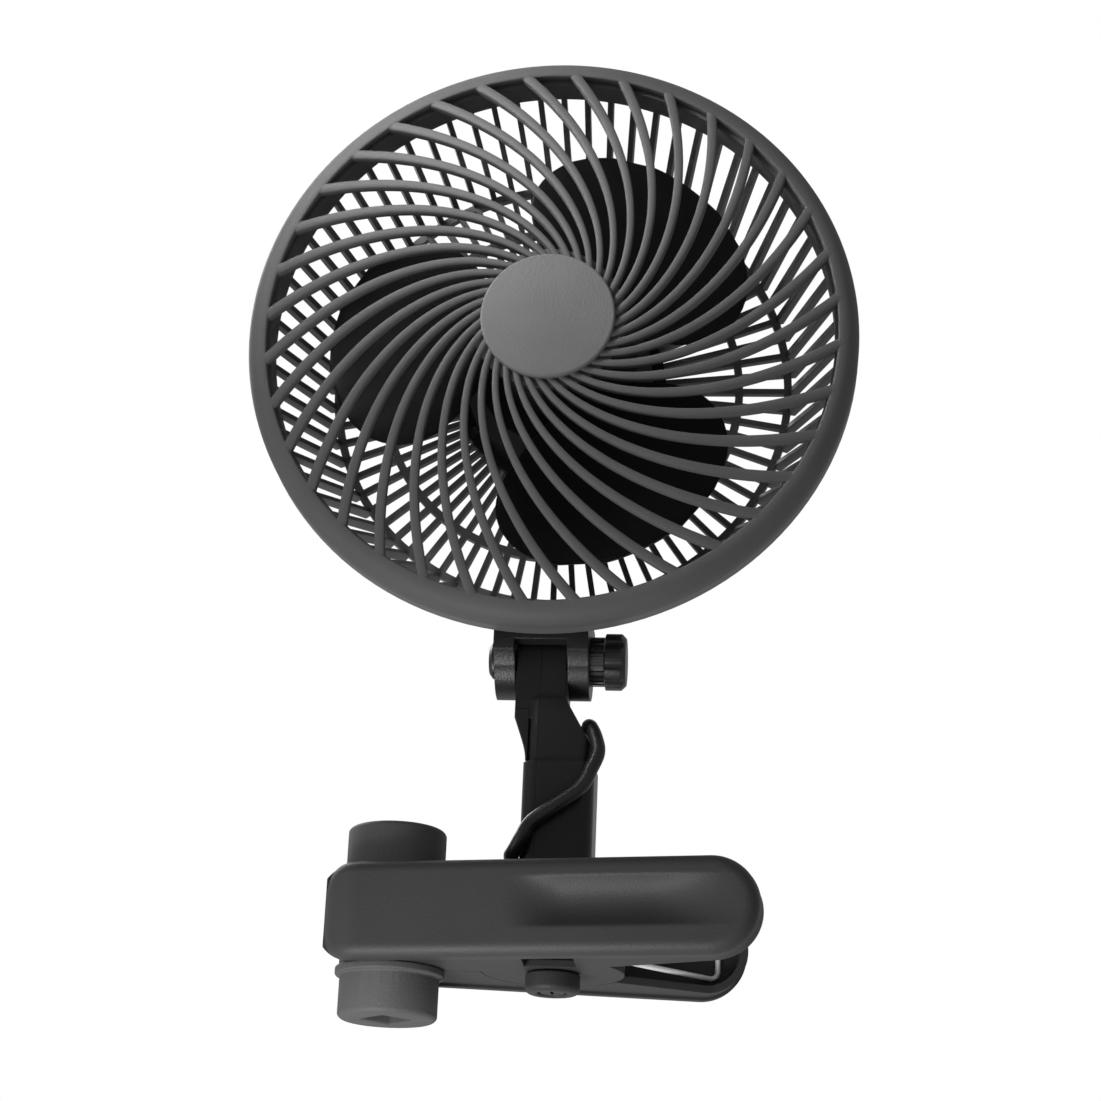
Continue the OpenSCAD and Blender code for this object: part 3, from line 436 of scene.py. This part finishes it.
def tube(path, radius, sides=14):
    """A round tube: path + r (side cos a + up sin a), closed at both ends by rounded caps."""
    path = np.asarray(path, float)
    tangent, side, up = carried_sides(path)
    a = np.linspace(0, 2 * np.pi, sides, endpoint=False)
    ring = side[:, None] * np.cos(a)[:, None] + up[:, None] * np.sin(a)[:, None]
    cap, bulge = np.radians([0, 30, 60]), radius * 0.5
    first = path[0] - tangent[0] * bulge * np.cos(cap)[:, None]
    last = path[-1] + tangent[-1] * bulge * np.cos(cap)[::-1, None]
    centres = np.concatenate([first, path, last])
    radii = np.concatenate([np.sin(cap), np.ones(len(path)), np.sin(cap)[::-1]]) * radius
    rings = np.concatenate([np.repeat(ring[:1], len(cap), 0), ring, np.repeat(ring[-1:], len(cap), 0)])
    points = centres[:, None] + rings * radii[:, None, None]
    return points.reshape(-1, 3), grid_faces(len(centres), sides, False, True)


def smooth_path(points, steps=8):
    """Catmull-Rom curve through the points: cubic pieces with slopes from the neighbours."""
    p = np.asarray(points, float)
    p = np.concatenate([2 * p[:1] - p[1:2], p, 2 * p[-1:] - p[-2:-1]])
    t = np.linspace(0, 1, steps, endpoint=False)[:, None]
    a, b, c, d = p[:-3, None], p[1:-2, None], p[2:-1, None], p[3:, None]
    square, cube = 2 * a - 5 * b + 4 * c - d, 3 * b - a - 3 * c + d
    curve = 0.5 * (2 * b + (c - a) * t + square * t ** 2 + cube * t ** 3)
    return np.concatenate([curve.reshape(-1, 3), p[-2:-1]])


def rounded_copy(node, body, width, steps=3, corner=35.0):
    """A merged copy of a node with its flat faces joined and edges sharper than the corner angle rounded."""
    holder = frame["nodes"][node]
    mesh = holder.data.copy()
    mesh.transform(holder.matrix_world)
    close_mesh(mesh, CAD_WELD, flat=math.radians(1.0))
    mesh.name = node + "_rounded"
    piece = bpy.data.objects.new(node + "_rounded", mesh)
    bpy.context.scene.collection.objects.link(piece)
    mesh.shade_smooth()
    mesh.set_sharp_from_angle(angle=math.radians(corner))
    edge = piece.modifiers.new("edges", "BEVEL")
    edge.width = width
    edge.segments = steps
    edge.limit_method = "ANGLE"
    edge.angle_limit = math.radians(corner)
    edge.use_clamp_overlap = True
    edge.harden_normals = True
    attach(piece, body)
    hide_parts(node)
    return piece


FINISHES = {}


def slot_of(node):
    """The material slot that the record gives a node."""
    return next(entry["material_slot"] for entry in frame["record"]["subparts"] if entry["node"] == node)


class CLIPFAN_OT_finishes(bpy.types.Operator):
    """Makes the finishes and gives one to every node of the part"""

    bl_idname = "clipfan.finishes"
    bl_label = "Finishes"

    def execute(self, context):
        tone = context.scene.clip_fan_finishes
        lengthwise = (1.0, 0.1, 1.0)
        turned = (1.0, 0.05, 1.0)
        FINISHES.update({
            "black_plastic": moulded_plastic("hinge_black", rgba(tone.black, 1.6), 0.38, specular=0.3),
            "lever_plastic": moulded_plastic("lever_charcoal", rgba(tone.clip_grey, 0.8), 0.56, 0.00006),
            "satin_plastic": moulded_plastic("cover_charcoal", tone.clip_grey, 0.54, 0.00006),
            "post_plastic": moulded_plastic("post_black", tone.black, 0.34, 0.00003, specular=0.2),
            "grille_plastic": moulded_plastic("guard_charcoal", tone.guard_grey, 0.60, 0.00004, 0.0003, 0.16),
            # rear guard: the guard charcoal made 1.2 times lighter, painted light standing in for the light
            # on its shaded inner wall
            "guard_painted_light": moulded_plastic("guard_dark", rgba(tone.guard_grey, 1.2), 0.50, 0.00003, 0.0003),
            "disc_plastic": moulded_plastic("disc_grey", tone.disc_grey, 0.52, 0.00011, 0.0004),
            "motor_plastic": moulded_plastic("motor_black", tone.black, 0.52, 0.00007),
            "jaw_rubber": moulded_plastic("jaw_grey", tone.jaw_grey, 0.62, 0.00008, 0.0006, 0.25),
            "bush_plastic": moulded_plastic("bush_grey", rgba(tone.jaw_grey, 1.2), 0.45),
            "blade_plastic": moulded_plastic("blade_black", rgba(tone.black, 0.7), 0.46, 0.00002, 0.0003,
                                             specular=0.08),
            "gloss_ring": moulded_plastic("tooth_gloss", rgba(tone.black, 2.0), 0.16, 0.00001, 0.0002, 0.6,
                                          coat=0.6),
            "dark_steel": drawn_metal("blackened_steel", BLACKENED, 0.42, lengthwise),
            "bright_steel": drawn_metal("screw_steel", tone.steel, 0.34, lengthwise),
            "spring_steel": drawn_metal("spring_wire", PALE_WIRE, 0.36, (0.2, 0.2, 1.0), metal=0.15),
            "stator_iron": drawn_metal("stator_copper", COPPER, 0.42, turned),
            "rotor_aluminium": drawn_metal("rotor_aluminium", ALUMINIUM, 0.36, turned),
            "bearing_brass": drawn_metal("bearing_bronze", BRONZE, 0.40),
            "lead_rubber": rubber_jacket("lead_jacket", rgba(tone.black, 0.9)),
        })
        # the rear guard takes the lighter copy of the guard charcoal, which is painted light on its shaded
        # inner wall
        special = {"post_body": "post_plastic", "post_side": "post_plastic", "rear_guard": "guard_painted_light",
                   "rear_lever": "lever_plastic", "front_lever": "lever_plastic",
                   "pivot_cap": "lever_plastic", "tilt_bolt": "dark_steel", "pivot_screw": "dark_steel"}
        for node, holder in frame["nodes"].items():
            material = FINISHES[special.get(node) or slot_of(node)]
            if not holder.material_slots:
                holder.data.materials.append(material)
            for entry in holder.material_slots:
                entry.material = material
        return {"FINISHED"}


class CLIPFAN_OT_guard(bpy.types.Operator):
    """Front guard: spiral ribs on a dome, a bull-nosed rim, a hub ring and a bare domed disc"""

    bl_idname = "clipfan.guard"
    bl_label = "Front guard"

    wall = 3 * MM           # wall of the rim and height of the hub ring
    disc_radius = 19.7 * MM

    def ribs(self, size):
        """Ribs: a log spiral a = turn ln(r/hub) on the dome z = h (1 - u^2), with a round-fronted section."""
        root, bite, steps = 19.3 * MM, 0.8 * MM, 44
        hub_width, flare = 1.9 * MM, 1.1 * MM
        end = size.rim_radius - size.rim_round
        r = np.linspace(root, end + bite, steps)
        u = (r - size.hub_radius) / (end - size.hub_radius)
        a = size.rib_turn * np.log(r / size.hub_radius)
        z = size.dome_height * (1 - u ** 2)
        path = np.stack([r * np.cos(a), r * np.sin(a), z], -1)
        slope = np.gradient(path[:, :2], axis=0)
        slope /= np.linalg.norm(slope, axis=1, keepdims=True)
        across = np.stack([-slope[:, 1], slope[:, 0], np.zeros(len(r))], -1)
        width = hub_width + flare * np.clip(u, 0, 1)
        front, crown = np.radians(np.linspace(0, 180, 9)), 0.28
        foot = np.array([-0.46, -0.30, 0.30, 0.46])
        sideways = np.concatenate([0.5 * np.cos(front), foot])
        drop = np.concatenate([crown * (np.sin(front) - 1) * hub_width, np.full(len(foot), -size.rib_depth)])
        one = (path[:, None] + across[:, None] * (sideways * width[:, None])[..., None]
               + np.array([0, 0, 1.0]) * drop[None, :, None])
        ends = np.broadcast_to(one.mean(1, keepdims=True), one.shape)
        one = np.concatenate([ends[:1], one, ends[-1:]])
        turn = np.arange(size.ribs) * 2 * np.pi / size.ribs
        x, y, z = np.moveaxis(one.reshape(-1, 3), -1, 0)
        points = np.stack([np.outer(np.cos(turn), x) - np.outer(np.sin(turn), y),
                           np.outer(np.sin(turn), x) + np.outer(np.cos(turn), y),
                           np.outer(np.ones(size.ribs), z)], -1)
        quads = grid_faces(len(one), len(drop), False, True)
        every = quads[None] + (np.arange(size.ribs) * len(x))[:, None, None]
        return points.reshape(-1, 3), every.reshape(-1, 4)

    def rim(self, size):
        """Rim: a quarter-round bull nose with a rolled inner lip and a straight skirt, turned on the axis."""
        out, bull, lip, back = size.rim_radius, size.rim_round, 0.6 * MM, -8 * MM
        x, y = out - bull, -bull
        profile = np.concatenate([arc((x, y), bull, 0, 90, 20), arc((x, -lip), lip, 100, 180, 5),
                                  arc((x, lip - self.wall), lip, 180, 260, 5),
                                  arc((x, y), bull - self.wall, 90, 0, 12),
                                  [[out - self.wall, back], [out, back]]])
        return lathe(profile[::-1], 192)

    def hub_ring(self, size):
        """Hub ring: a rounded outer edge, a step down to it from the disc's seat, and a plain bore."""
        hub, top = size.hub_radius, size.dome_height
        bore, ledge, soft = 18.2 * MM, top - 1.4 * MM, 0.5 * MM
        profile = np.concatenate([arc((hub - soft, ledge - soft), soft, 0, 90, 5),
                                  [[self.disc_radius, ledge], [self.disc_radius, top], [bore, top],
                                   [bore, top - self.wall], [hub, top - self.wall]]])
        return lathe(profile[::-1], 128)

    def disc(self, size):
        """Disc: a shallow crown z = top - c (r/R)^2 with a rounded edge and a flat back."""
        low, edge = size.dome_height + SEAT_GAP, 0.7 * MM
        crown, side = 1.9 * MM, 1.3 * MM
        r = np.linspace(0, self.disc_radius - edge, 16)
        dome = np.stack([r, low + crown - (crown - side) * (r / r[-1]) ** 2], -1)
        border = arc((self.disc_radius - edge, low + side - edge), edge, 85, 0, 7)
        return lathe(np.concatenate([dome, border, [[self.disc_radius, low], [0, low]]]), 128)

    def execute(self, context):
        size = context.scene.clip_fan_sizes
        for name, patches, node, slot in (
                ("centre_disc", [self.disc(size)], "grille_disc", "disc_plastic"),
                ("spiral_guard", [self.ribs(size), self.rim(size), self.hub_ring(size)], "front_grille",
                 "grille_plastic")):
            patches = [(head_to_frame(points), quads) for points, quads in patches]
            add_piece(name, patches, "head", [node], FINISHES[slot])
        return {"FINISHED"}


class CLIPFAN_OT_blades(bpy.types.Operator):
    """Three petal blades on a domed hub"""

    bl_idname = "clipfan.blades"
    bl_label = "Blades"

    hub = 17 * MM
    back, front = -27.8 * MM, -9.8 * MM

    def blade(self, tip):
        """One blade: a flat loop over the angle 2 f s(r), raised by a sine of f, closed at root and tip."""
        half, rows, loop = 46.0, 30, 44
        thickness, rise = 0.8 * MM, 14 * MM / 1.9
        r = np.concatenate([np.linspace(self.hub - 2 * MM, tip, rows), [tip]])
        span = half * np.sqrt(np.maximum(0.12, 1 - ((r - 0.62 * tip) / (0.42 * tip)) ** 2))
        round_tip = np.sqrt(np.clip(1 - ((r - 0.86 * tip) / (0.14 * tip)).clip(0) ** 4, 0.0, 1))
        span = span * (0.55 + 0.45 * round_tip)
        a = np.linspace(0, 2 * np.pi, loop, endpoint=False)
        f = 0.5 * np.cos(a)
        thick = thickness * np.sign(np.sin(a)) * np.abs(np.sin(a)) ** 0.35
        closed = np.ones(len(r))
        closed[[0, -1]] = 0.0
        angle = np.radians(2 * f[None] * span[:, None])
        lift = rise * np.sin(np.radians(144 * f))[None] * (span / half)[:, None]
        z = (self.back + self.front) / 2 + lift + thick[None] * closed[:, None]
        points = np.stack([r[:, None] * np.cos(angle), r[:, None] * np.sin(angle), z], -1)
        return points.reshape(-1, 3), grid_faces(len(r), loop, False, True)

    def execute(self, context):
        points, quads = self.blade(context.scene.clip_fan_sizes.blade_radius)
        x, y, z = points.T
        patches = []
        for degrees in (55, 175, 295):
            t = math.radians(degrees)
            turned = np.stack([x * math.cos(t) - y * math.sin(t), x * math.sin(t) + y * math.cos(t), z], -1)
            patches.append((head_to_frame(turned), quads))
        bore, soft, nose = 2.52 * MM, 0.6 * MM, 3 * MM
        profile = np.concatenate([[[bore, self.back]],
                                  arc((self.hub - soft, self.back + soft), soft, -90, 0, 5),
                                  arc((self.hub - nose, self.front - nose), nose, 0, 90, 10),
                                  [[bore, self.front]]])
        points, quads = lathe(profile[::-1], 96)
        patches.append((head_to_frame(points), quads))
        add_piece("blade_set", patches, "rotor", ["fan_blades"], FINISHES["blade_plastic"])
        return {"FINISHED"}


class CLIPFAN_OT_covers(bpy.types.Operator):
    """Lever covers: pill plates with rolled borders, a wrapped nose and a finger scoop"""

    bl_idname = "clipfan.covers"
    bl_label = "Lever covers"

    def face(self, size, length_out):
        """Front and back sheets over the pill's outline.

        The front's height is - nose wrap - border roll - scoop. The nose is a quarter round, the roll follows
        the distance from the border, and the scoop is an eased trough d (1 - (y/w)^2).
        """
        half = LEVER_H / 2
        tip = length_out / math.cos(SPREAD) - half
        roll, nose, corner = 3.6 * MM, 13 * MM, 10 * MM
        centre = -18 * MM + nose
        bend = (centre * math.cos(SPREAD)
                - (nose / math.cos(SPREAD) - math.tan(SPREAD) * centre) * math.sin(SPREAD))
        reach = math.sqrt(nose ** 2 - (nose - COVER_D) ** 2)
        wrap = bend - nose * np.sin(np.linspace(math.asin(reach / nose), 0, 16, endpoint=False))
        body = np.linspace(bend, tip, 90, endpoint=False)
        cap = tip + half * np.sin(np.linspace(0, math.pi / 2, 40))
        x = np.concatenate([wrap, body, cap])
        v = np.sin(np.linspace(-math.pi / 2, math.pi / 2, 73))
        past = np.clip(bend - nose + corner - x, 0, corner)
        h = np.sqrt(np.clip(half ** 2 - np.clip(x - tip, 0, None) ** 2, 0, None))
        h = h - corner + np.sqrt(corner ** 2 - past ** 2)
        y = h[:, None] * v[None]
        away = half - np.hypot(np.clip(x - tip, 0, None)[:, None], y)
        beyond = np.hypot(past[:, None], np.clip(np.abs(y) - half + corner, 0, None))
        away = np.where(past[:, None] > 0, corner - beyond, away)
        fall = roll - np.sqrt(np.clip(roll ** 2 - np.clip(roll - away, 0, roll) ** 2, 0, None))
        back = np.clip(bend - x, 0, nose)
        fall = np.minimum(fall + (nose - np.sqrt(nose ** 2 - back ** 2))[:, None], COVER_D - SEAT_GAP)
        start = length_out - half - 50 * MM
        end, width, middle = start + 64 * MM, 7.0 * MM, 1.2 * MM
        near = np.clip((x - start + 5 * MM) / (16 * MM), 0, 1)
        far = np.clip((end - x) / (30 * MM), 0, 1)
        along = near ** 2 * (3 - 2 * near) * far ** 2 * (3 - 2 * far)
        across = np.clip(1 - ((y - middle) / width) ** 2, 0, None)
        fall = fall + size.scoop_depth * along[:, None] * across
        front = np.stack([np.broadcast_to(x[:, None], y.shape), y, -fall], -1)
        rear = front.copy()
        rear[..., 2] = -COVER_D
        return front, rear

    def skin(self, size, length_out, side):
        """Front and back sheets joined by a skirt, turned to the lever's spread; side -1 mirrors it in y."""
        front, rear = self.face(size, length_out)
        rows, columns = front.shape[:2]
        quads = grid_faces(rows, columns)
        rim = np.concatenate([np.arange(columns), np.arange(1, rows) * columns + columns - 1,
                              (rows - 1) * columns + np.arange(columns - 2, -1, -1),
                              np.arange(rows - 2, 0, -1) * columns])
        count = rows * columns
        follow = np.roll(rim, -1)
        skirt = np.stack([rim, rim + count, follow + count, follow], -1)
        points = np.concatenate([front.reshape(-1, 3), rear.reshape(-1, 3)])
        faces = np.concatenate([quads[:, ::-1], quads + count, skirt[:, ::-1]])
        x, y, z = points.T
        turned = np.stack([x * math.cos(SPREAD) - z * math.sin(SPREAD),
                           -FACE - x * math.sin(SPREAD) - z * math.cos(SPREAD), y], -1)
        return turned * np.array([1, side, 1]), faces if side > 0 else faces[:, ::-1]

    def execute(self, context):
        size = context.scene.clip_fan_sizes
        for name, body, node, reach, side in (
                ("front_cover_skin", "front_clip", "front_cover", 103 * MM, 1),
                ("rear_cover_skin", "clip", "rear_cover", 98.5 * MM, -1)):
            add_piece(name, [self.skin(size, reach, side)], body, [node], FINISHES["satin_plastic"],
                      55.0)
        return {"FINISHED"}


class CLIPFAN_OT_spring(bpy.types.Operator):
    """Double torsion spring of one unbroken wire"""

    bl_idname = "clipfan.spring"
    bl_label = "Clip spring"

    bush = 6 * MM       # radius of the bush inside the coils
    bridge = 91.2 * MM  # x of the bridge in the rear lever
    leg = 82.2 * MM     # x of the tips in the front lever
    corner = 2 * MM     # bend of the wire at the bridge

    def wire_path(self, wire):
        """Half the wire and its mirror image in z.

        A half is a leg, a coil pivot + R (cos a, sin a) with an even rise, a leg and half the bridge.
        """
        coil = (self.bush + wire + 0.2 * MM) / math.cos(math.radians(22.5))
        low, pitch, turns = wire + 0.75 * MM, 2.05 * MM, 3

        def seat(x):
            """y of the wire's middle on the inside of a cover."""
            return FACE + math.tan(SPREAD) * x - COVER_D / math.cos(SPREAD) - wire - 0.15 * MM

        def meets(x, y, sign):
            """Angle at which a straight leg from (x, y) touches the coil."""
            return math.atan2(y, x - PIVOT) + sign * math.acos(coil / math.hypot(x - PIVOT, y))

        arrive = meets(self.leg, -seat(self.leg), 1)
        leave = meets(self.bridge, seat(self.bridge), -1)
        turn = 2 * math.pi * turns + leave - arrive
        f = np.linspace(0, 1, 140)
        high = low + pitch * turn / (2 * math.pi)
        winding = np.stack([PIVOT + coil * np.cos(arrive + turn * f), coil * np.sin(arrive + turn * f),
                            low + (high - low) * f], -1)
        tip = np.array([self.leg, -seat(self.leg), low])
        beside = seat(self.bridge)
        stop = np.array([self.bridge - self.corner, beside, high])
        t = np.linspace(0, 1, 12)[:, None]
        bend = np.radians(np.linspace(0, 90, 10))
        knee = np.stack([self.bridge - self.corner + self.corner * np.sin(bend), np.full(len(bend), beside),
                         high - self.corner + self.corner * np.cos(bend)], -1)
        rise = (np.linspace(1, 0, 10)[1:, None] * np.array([0, 0, high - self.corner])
                + np.array([self.bridge, beside, 0]))
        half = np.concatenate([tip + (winding[0] - tip) * t[:-1], winding,
                               winding[-1] + (stop - winding[-1]) * t[1:-1], knee, rise])
        return np.concatenate([half, half[-2::-1] * np.array([1, 1, -1])])

    def execute(self, context):
        wire = context.scene.clip_fan_sizes.wire_radius
        piece = add_piece("spring_wire", [tube(self.wire_path(wire), wire, 12)], None, ["clip_spring"],
                          FINISHES["spring_steel"], 60.0)
        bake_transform(piece)
        return {"FINISHED"}


class CLIPFAN_OT_edges(bpy.types.Operator):
    """Rounds the moulded edges of hinge, post, knob, cap and jaw sleeve, and adds the post's gussets"""

    bl_idname = "clipfan.edges"
    bl_label = "Moulded edges"

    # Each node, its body and the width of its rounding in mm.
    widths = (("tilt_fork", "head", 1.2), ("tilt_knob", "tilt_knob", 0.6), ("post_body", "post", 1.0),
              ("post_side", "post", 1.0), ("pivot_cap", "clip", 0.6), ("front_jaw_pad", "front_clip", 0.6),
              ("rear_jaw_pad", "clip", 0.6))

    def gusset(self, near, far):
        """Blend under the hinge: its edge is x = x0 - d s(t), s an eased step, its section rounded in y."""
        foot, height, inside = 46.5 * MM, 15.0 * MM, 36.9 * MM
        outer, sweep, soft = 36.3 * MM, 3.54 * MM, 0.5 * MM
        t = np.linspace(0, 1, 26)
        edge = outer - sweep * t ** 2 * (3 - 2 * t)
        z = foot + height * t
        bend = np.radians(np.linspace(0, 90, 6))
        y = np.concatenate([[far, near], near + soft - soft * np.cos(bend), far - soft + soft * np.sin(bend)])
        out = np.concatenate([[0, 0], soft * (1 - np.sin(bend)), soft * (1 - np.cos(bend))])
        x = edge[:, None] + np.minimum(out[None], inside - edge[:, None])
        x[:, :2] = inside
        rows = np.stack([x, np.broadcast_to(y, x.shape), np.broadcast_to(z[:, None], x.shape)], -1)
        ends = np.broadcast_to(rows.mean(1, keepdims=True), rows.shape)
        rows = np.concatenate([ends[:1], rows, ends[-1:]])
        return rows.reshape(-1, 3), grid_faces(len(rows), len(y), False, True)[:, ::-1]

    def execute(self, context):
        for node, body, width in self.widths:
            rounded_copy(node, body, width * MM)
        near, far = 3.3 * MM, 8.8 * MM
        add_piece("post_gussets", [self.gusset(-far, -near), self.gusset(near, far)], "post", [],
                  FINISHES["post_plastic"], 60.0)
        return {"FINISHED"}


class CLIPFAN_OT_lead(bpy.types.Operator):
    """Motor lead wound round the post"""

    bl_idname = "clipfan.lead"
    bl_label = "Motor lead"

    high, low = 60 * MM, 19 * MM    # heights of the two holes in the post's back
    wall, plug = 11 * MM, 5 * MM    # y of the holes' mouths, and how deep the lead goes in

    def route(self, width):
        """A squared turn round the post, x = A sqrt(cos a), y = B sqrt(sin a), easing down."""
        clear, side_clear = width / 2 + 0.5 * MM, width / 2 + 1.0 * MM
        depth = POST_HALF_D + clear
        a = np.radians(np.arange(60, -241, -15))
        fall = np.clip((math.radians(15) - a) / math.radians(170), 0, 1)
        z = self.high + (self.low - self.high) * fall ** 2 * (3 - 2 * fall)
        shoulder, lean = 49 * MM, 9.05 / 15.8
        edge = np.maximum(1.2 * MM, POST_HALF_W - lean * np.clip(z - shoulder, 0, None))
        across = np.where(np.cos(a) > 0, edge + side_clear, -POST_HALF_W - clear)
        turn = np.stack([PIVOT + across * np.sqrt(np.abs(np.cos(a))),
                         depth * np.sign(np.sin(a)) * np.sqrt(np.abs(np.sin(a))), z], -1)

        def end(x, z, side):
            """Points from inside a hole to the start of the turn."""
            return np.array([[x, self.wall + 0.5 * MM - self.plug, z], [x, self.wall - 0.5 * MM, z],
                             [x + 1.6 * MM * side, depth - 0.1 * MM, z]])

        first = end(PIVOT - 1 * MM, self.high, 1)
        last = end(PIVOT - 2 * MM, self.low, -1)[::-1]
        return smooth_path(np.concatenate([first, turn, last]), 7)

    def execute(self, context):
        width = context.scene.clip_fan_sizes.lead_width
        path = self.route(width)
        piece = add_piece("lead_jacket", [tube(path, width / 2, 16)], "post", ["motor_lead"],
                          FINISHES["lead_rubber"], 60.0)
        return {"FINISHED"}


class CLIPFAN_OT_studio(bpy.types.Operator):
    """Pale floor, soft lights, white surroundings and the camera"""

    bl_idname = "clipfan.studio"
    bl_label = "Studio"

    def camera(self, context, studio):
        """Camera from its place, pitch, yaw and roll: columns of the turn are right, up and back."""
        pitch, yaw, roll = (math.radians(v) for v in CAMERA_TURN)
        ahead = Vector((math.sin(yaw) * math.cos(pitch), math.cos(yaw) * math.cos(pitch), math.sin(pitch)))
        right = Vector((math.cos(yaw), -math.sin(yaw), 0))
        up = right.cross(ahead)
        across = right * math.cos(roll) + up * math.sin(roll)
        above = up * math.cos(roll) - right * math.sin(roll)
        data = bpy.data.cameras.new("photo_camera")
        data.lens = studio.lens
        data.sensor_width = 36
        data.clip_start = 0.02
        camera = bpy.data.objects.new("photo_camera", data)
        turn = Matrix((across, above, -ahead)).transposed().to_4x4()
        camera.matrix_world = Matrix.Translation(CAMERA_PLACE) @ turn
        context.scene.collection.objects.link(camera)
        context.scene.camera = camera

    def lamp(self, context, name, place, target, width, power, cone=None):
        """A soft round lamp aimed at a point; with a cone angle it is a spot with a soft border."""
        data = bpy.data.lights.new(name, "SPOT" if cone else "AREA")
        if cone:
            data.spot_size = math.radians(cone)
            data.spot_blend = 0.6
            data.shadow_soft_size = width / 2
        else:
            data.shape = "DISK"
            data.size = width
        data.energy = power
        lamp = bpy.data.objects.new(name, data)
        lamp.location = place
        lamp.rotation_euler = (Vector(target) - Vector(place)).to_track_quat("-Z", "Y").to_euler()
        lamp.visible_camera = False
        context.scene.collection.objects.link(lamp)

    def floor(self, context, studio):
        """A wide disc of rings whose points are r (cos a, sin a) at the floor's height."""
        reach, rings, sides = 6.0, 13, 64
        r = np.linspace(0, reach, rings)
        a = np.linspace(0, 2 * np.pi, sides, endpoint=False)
        points = np.stack([np.outer(r, np.cos(a)), np.outer(r, np.sin(a)),
                           np.full((rings, sides), studio.floor_drop)], -1).reshape(-1, 3)
        mesh = bpy.data.meshes.new("floor")
        mesh.from_pydata(points.tolist(), [], grid_faces(rings, sides, False, True)[:, ::-1].tolist())
        close_mesh(mesh, 1e-6)
        floor = bpy.data.objects.new("floor", mesh)
        context.scene.collection.objects.link(floor)
        material, tree, shader = new_finish("floor_pale")
        place = add_node(tree, "ShaderNodeTexCoord").outputs["Object"]
        shade = blend_colours(tree, noise(tree, place, FLOOR_CLOUDS), rgba(studio.floor_grey, 0.985),
                              rgba(studio.floor_grey))
        lift = white_room(tree) * studio.floor_lift
        glow = blend_colours(tree, lift, (0, 0, 0, 1), (1, 1, 1, 1))
        tree.links.new(shade, shader.inputs["Base Color"])
        tree.links.new(glow, shader.inputs["Emission Color"])
        shader.inputs["Emission Strength"].default_value = 1.0
        shader.inputs["Roughness"].default_value = 0.9
        shader.inputs["Specular IOR Level"].default_value = 0.0
        mesh.materials.append(material)

    def room(self, context, studio):
        """White surroundings to look at, and an even light of its own strength on the object."""
        world = bpy.data.worlds.new("white_room")
        context.scene.world = world
        world.use_nodes = True
        tree = world.node_tree
        tree.nodes.clear()
        strength = white_room(tree).atleast(studio.room_light)
        lit = add_node(tree, "ShaderNodeBackground", None, {"Color": (1, 1, 1, 1), "Strength": strength})
        tree.links.new(lit.outputs[0], add_node(tree, "ShaderNodeOutputWorld").inputs[0])

    def execute(self, context):
        studio = context.scene.clip_fan_studio
        self.camera(context, studio)
        self.floor(context, studio)
        for name, place, target, width, cone in LAMPS:
            power = getattr(studio, name + "_power")
            self.lamp(context, name + "_light", place, target, width, power, cone)
        self.room(context, studio)
        context.scene.view_settings.view_transform = "Standard"
        return {"FINISHED"}


class CLIPFAN_PT_panel(bpy.types.Panel):
    """Lists the steps and their settings"""

    bl_idname = "CLIPFAN_PT_panel"
    bl_label = "Clip fan"
    bl_space_type = "VIEW_3D"
    bl_region_type = "UI"
    bl_category = "Clip fan"

    def draw(self, context):
        for step in STEPS:
            self.layout.operator(step)
        scene = context.scene
        for group in (scene.clip_fan_sizes, scene.clip_fan_finishes, scene.clip_fan_studio):
            for name in group.__annotations__:
                self.layout.prop(group, name)


STEPS = ("clipfan.studio", "clipfan.finishes", "clipfan.lead", "clipfan.guard", "clipfan.blades",
         "clipfan.covers", "clipfan.spring", "clipfan.edges")
CLASSES = (FanSizes, FanFinishes, FanStudio, CLIPFAN_OT_studio, CLIPFAN_OT_finishes, CLIPFAN_OT_lead,
           CLIPFAN_OT_guard, CLIPFAN_OT_blades, CLIPFAN_OT_covers, CLIPFAN_OT_spring, CLIPFAN_OT_edges,
           CLIPFAN_PT_panel)


def register():
    for cls in CLASSES:
        bpy.utils.register_class(cls)
    bpy.types.Scene.clip_fan_sizes = PointerProperty(type=FanSizes)
    bpy.types.Scene.clip_fan_finishes = PointerProperty(type=FanFinishes)
    bpy.types.Scene.clip_fan_studio = PointerProperty(type=FanStudio)


def unregister():
    del bpy.types.Scene.clip_fan_studio
    del bpy.types.Scene.clip_fan_finishes
    del bpy.types.Scene.clip_fan_sizes
    for cls in reversed(CLASSES):
        bpy.utils.unregister_class(cls)


def main():
    register()
    for step in STEPS:
        group, name = step.split(".")
        getattr(getattr(bpy.ops, group), name)()


if __name__ == "__main__":
    main()
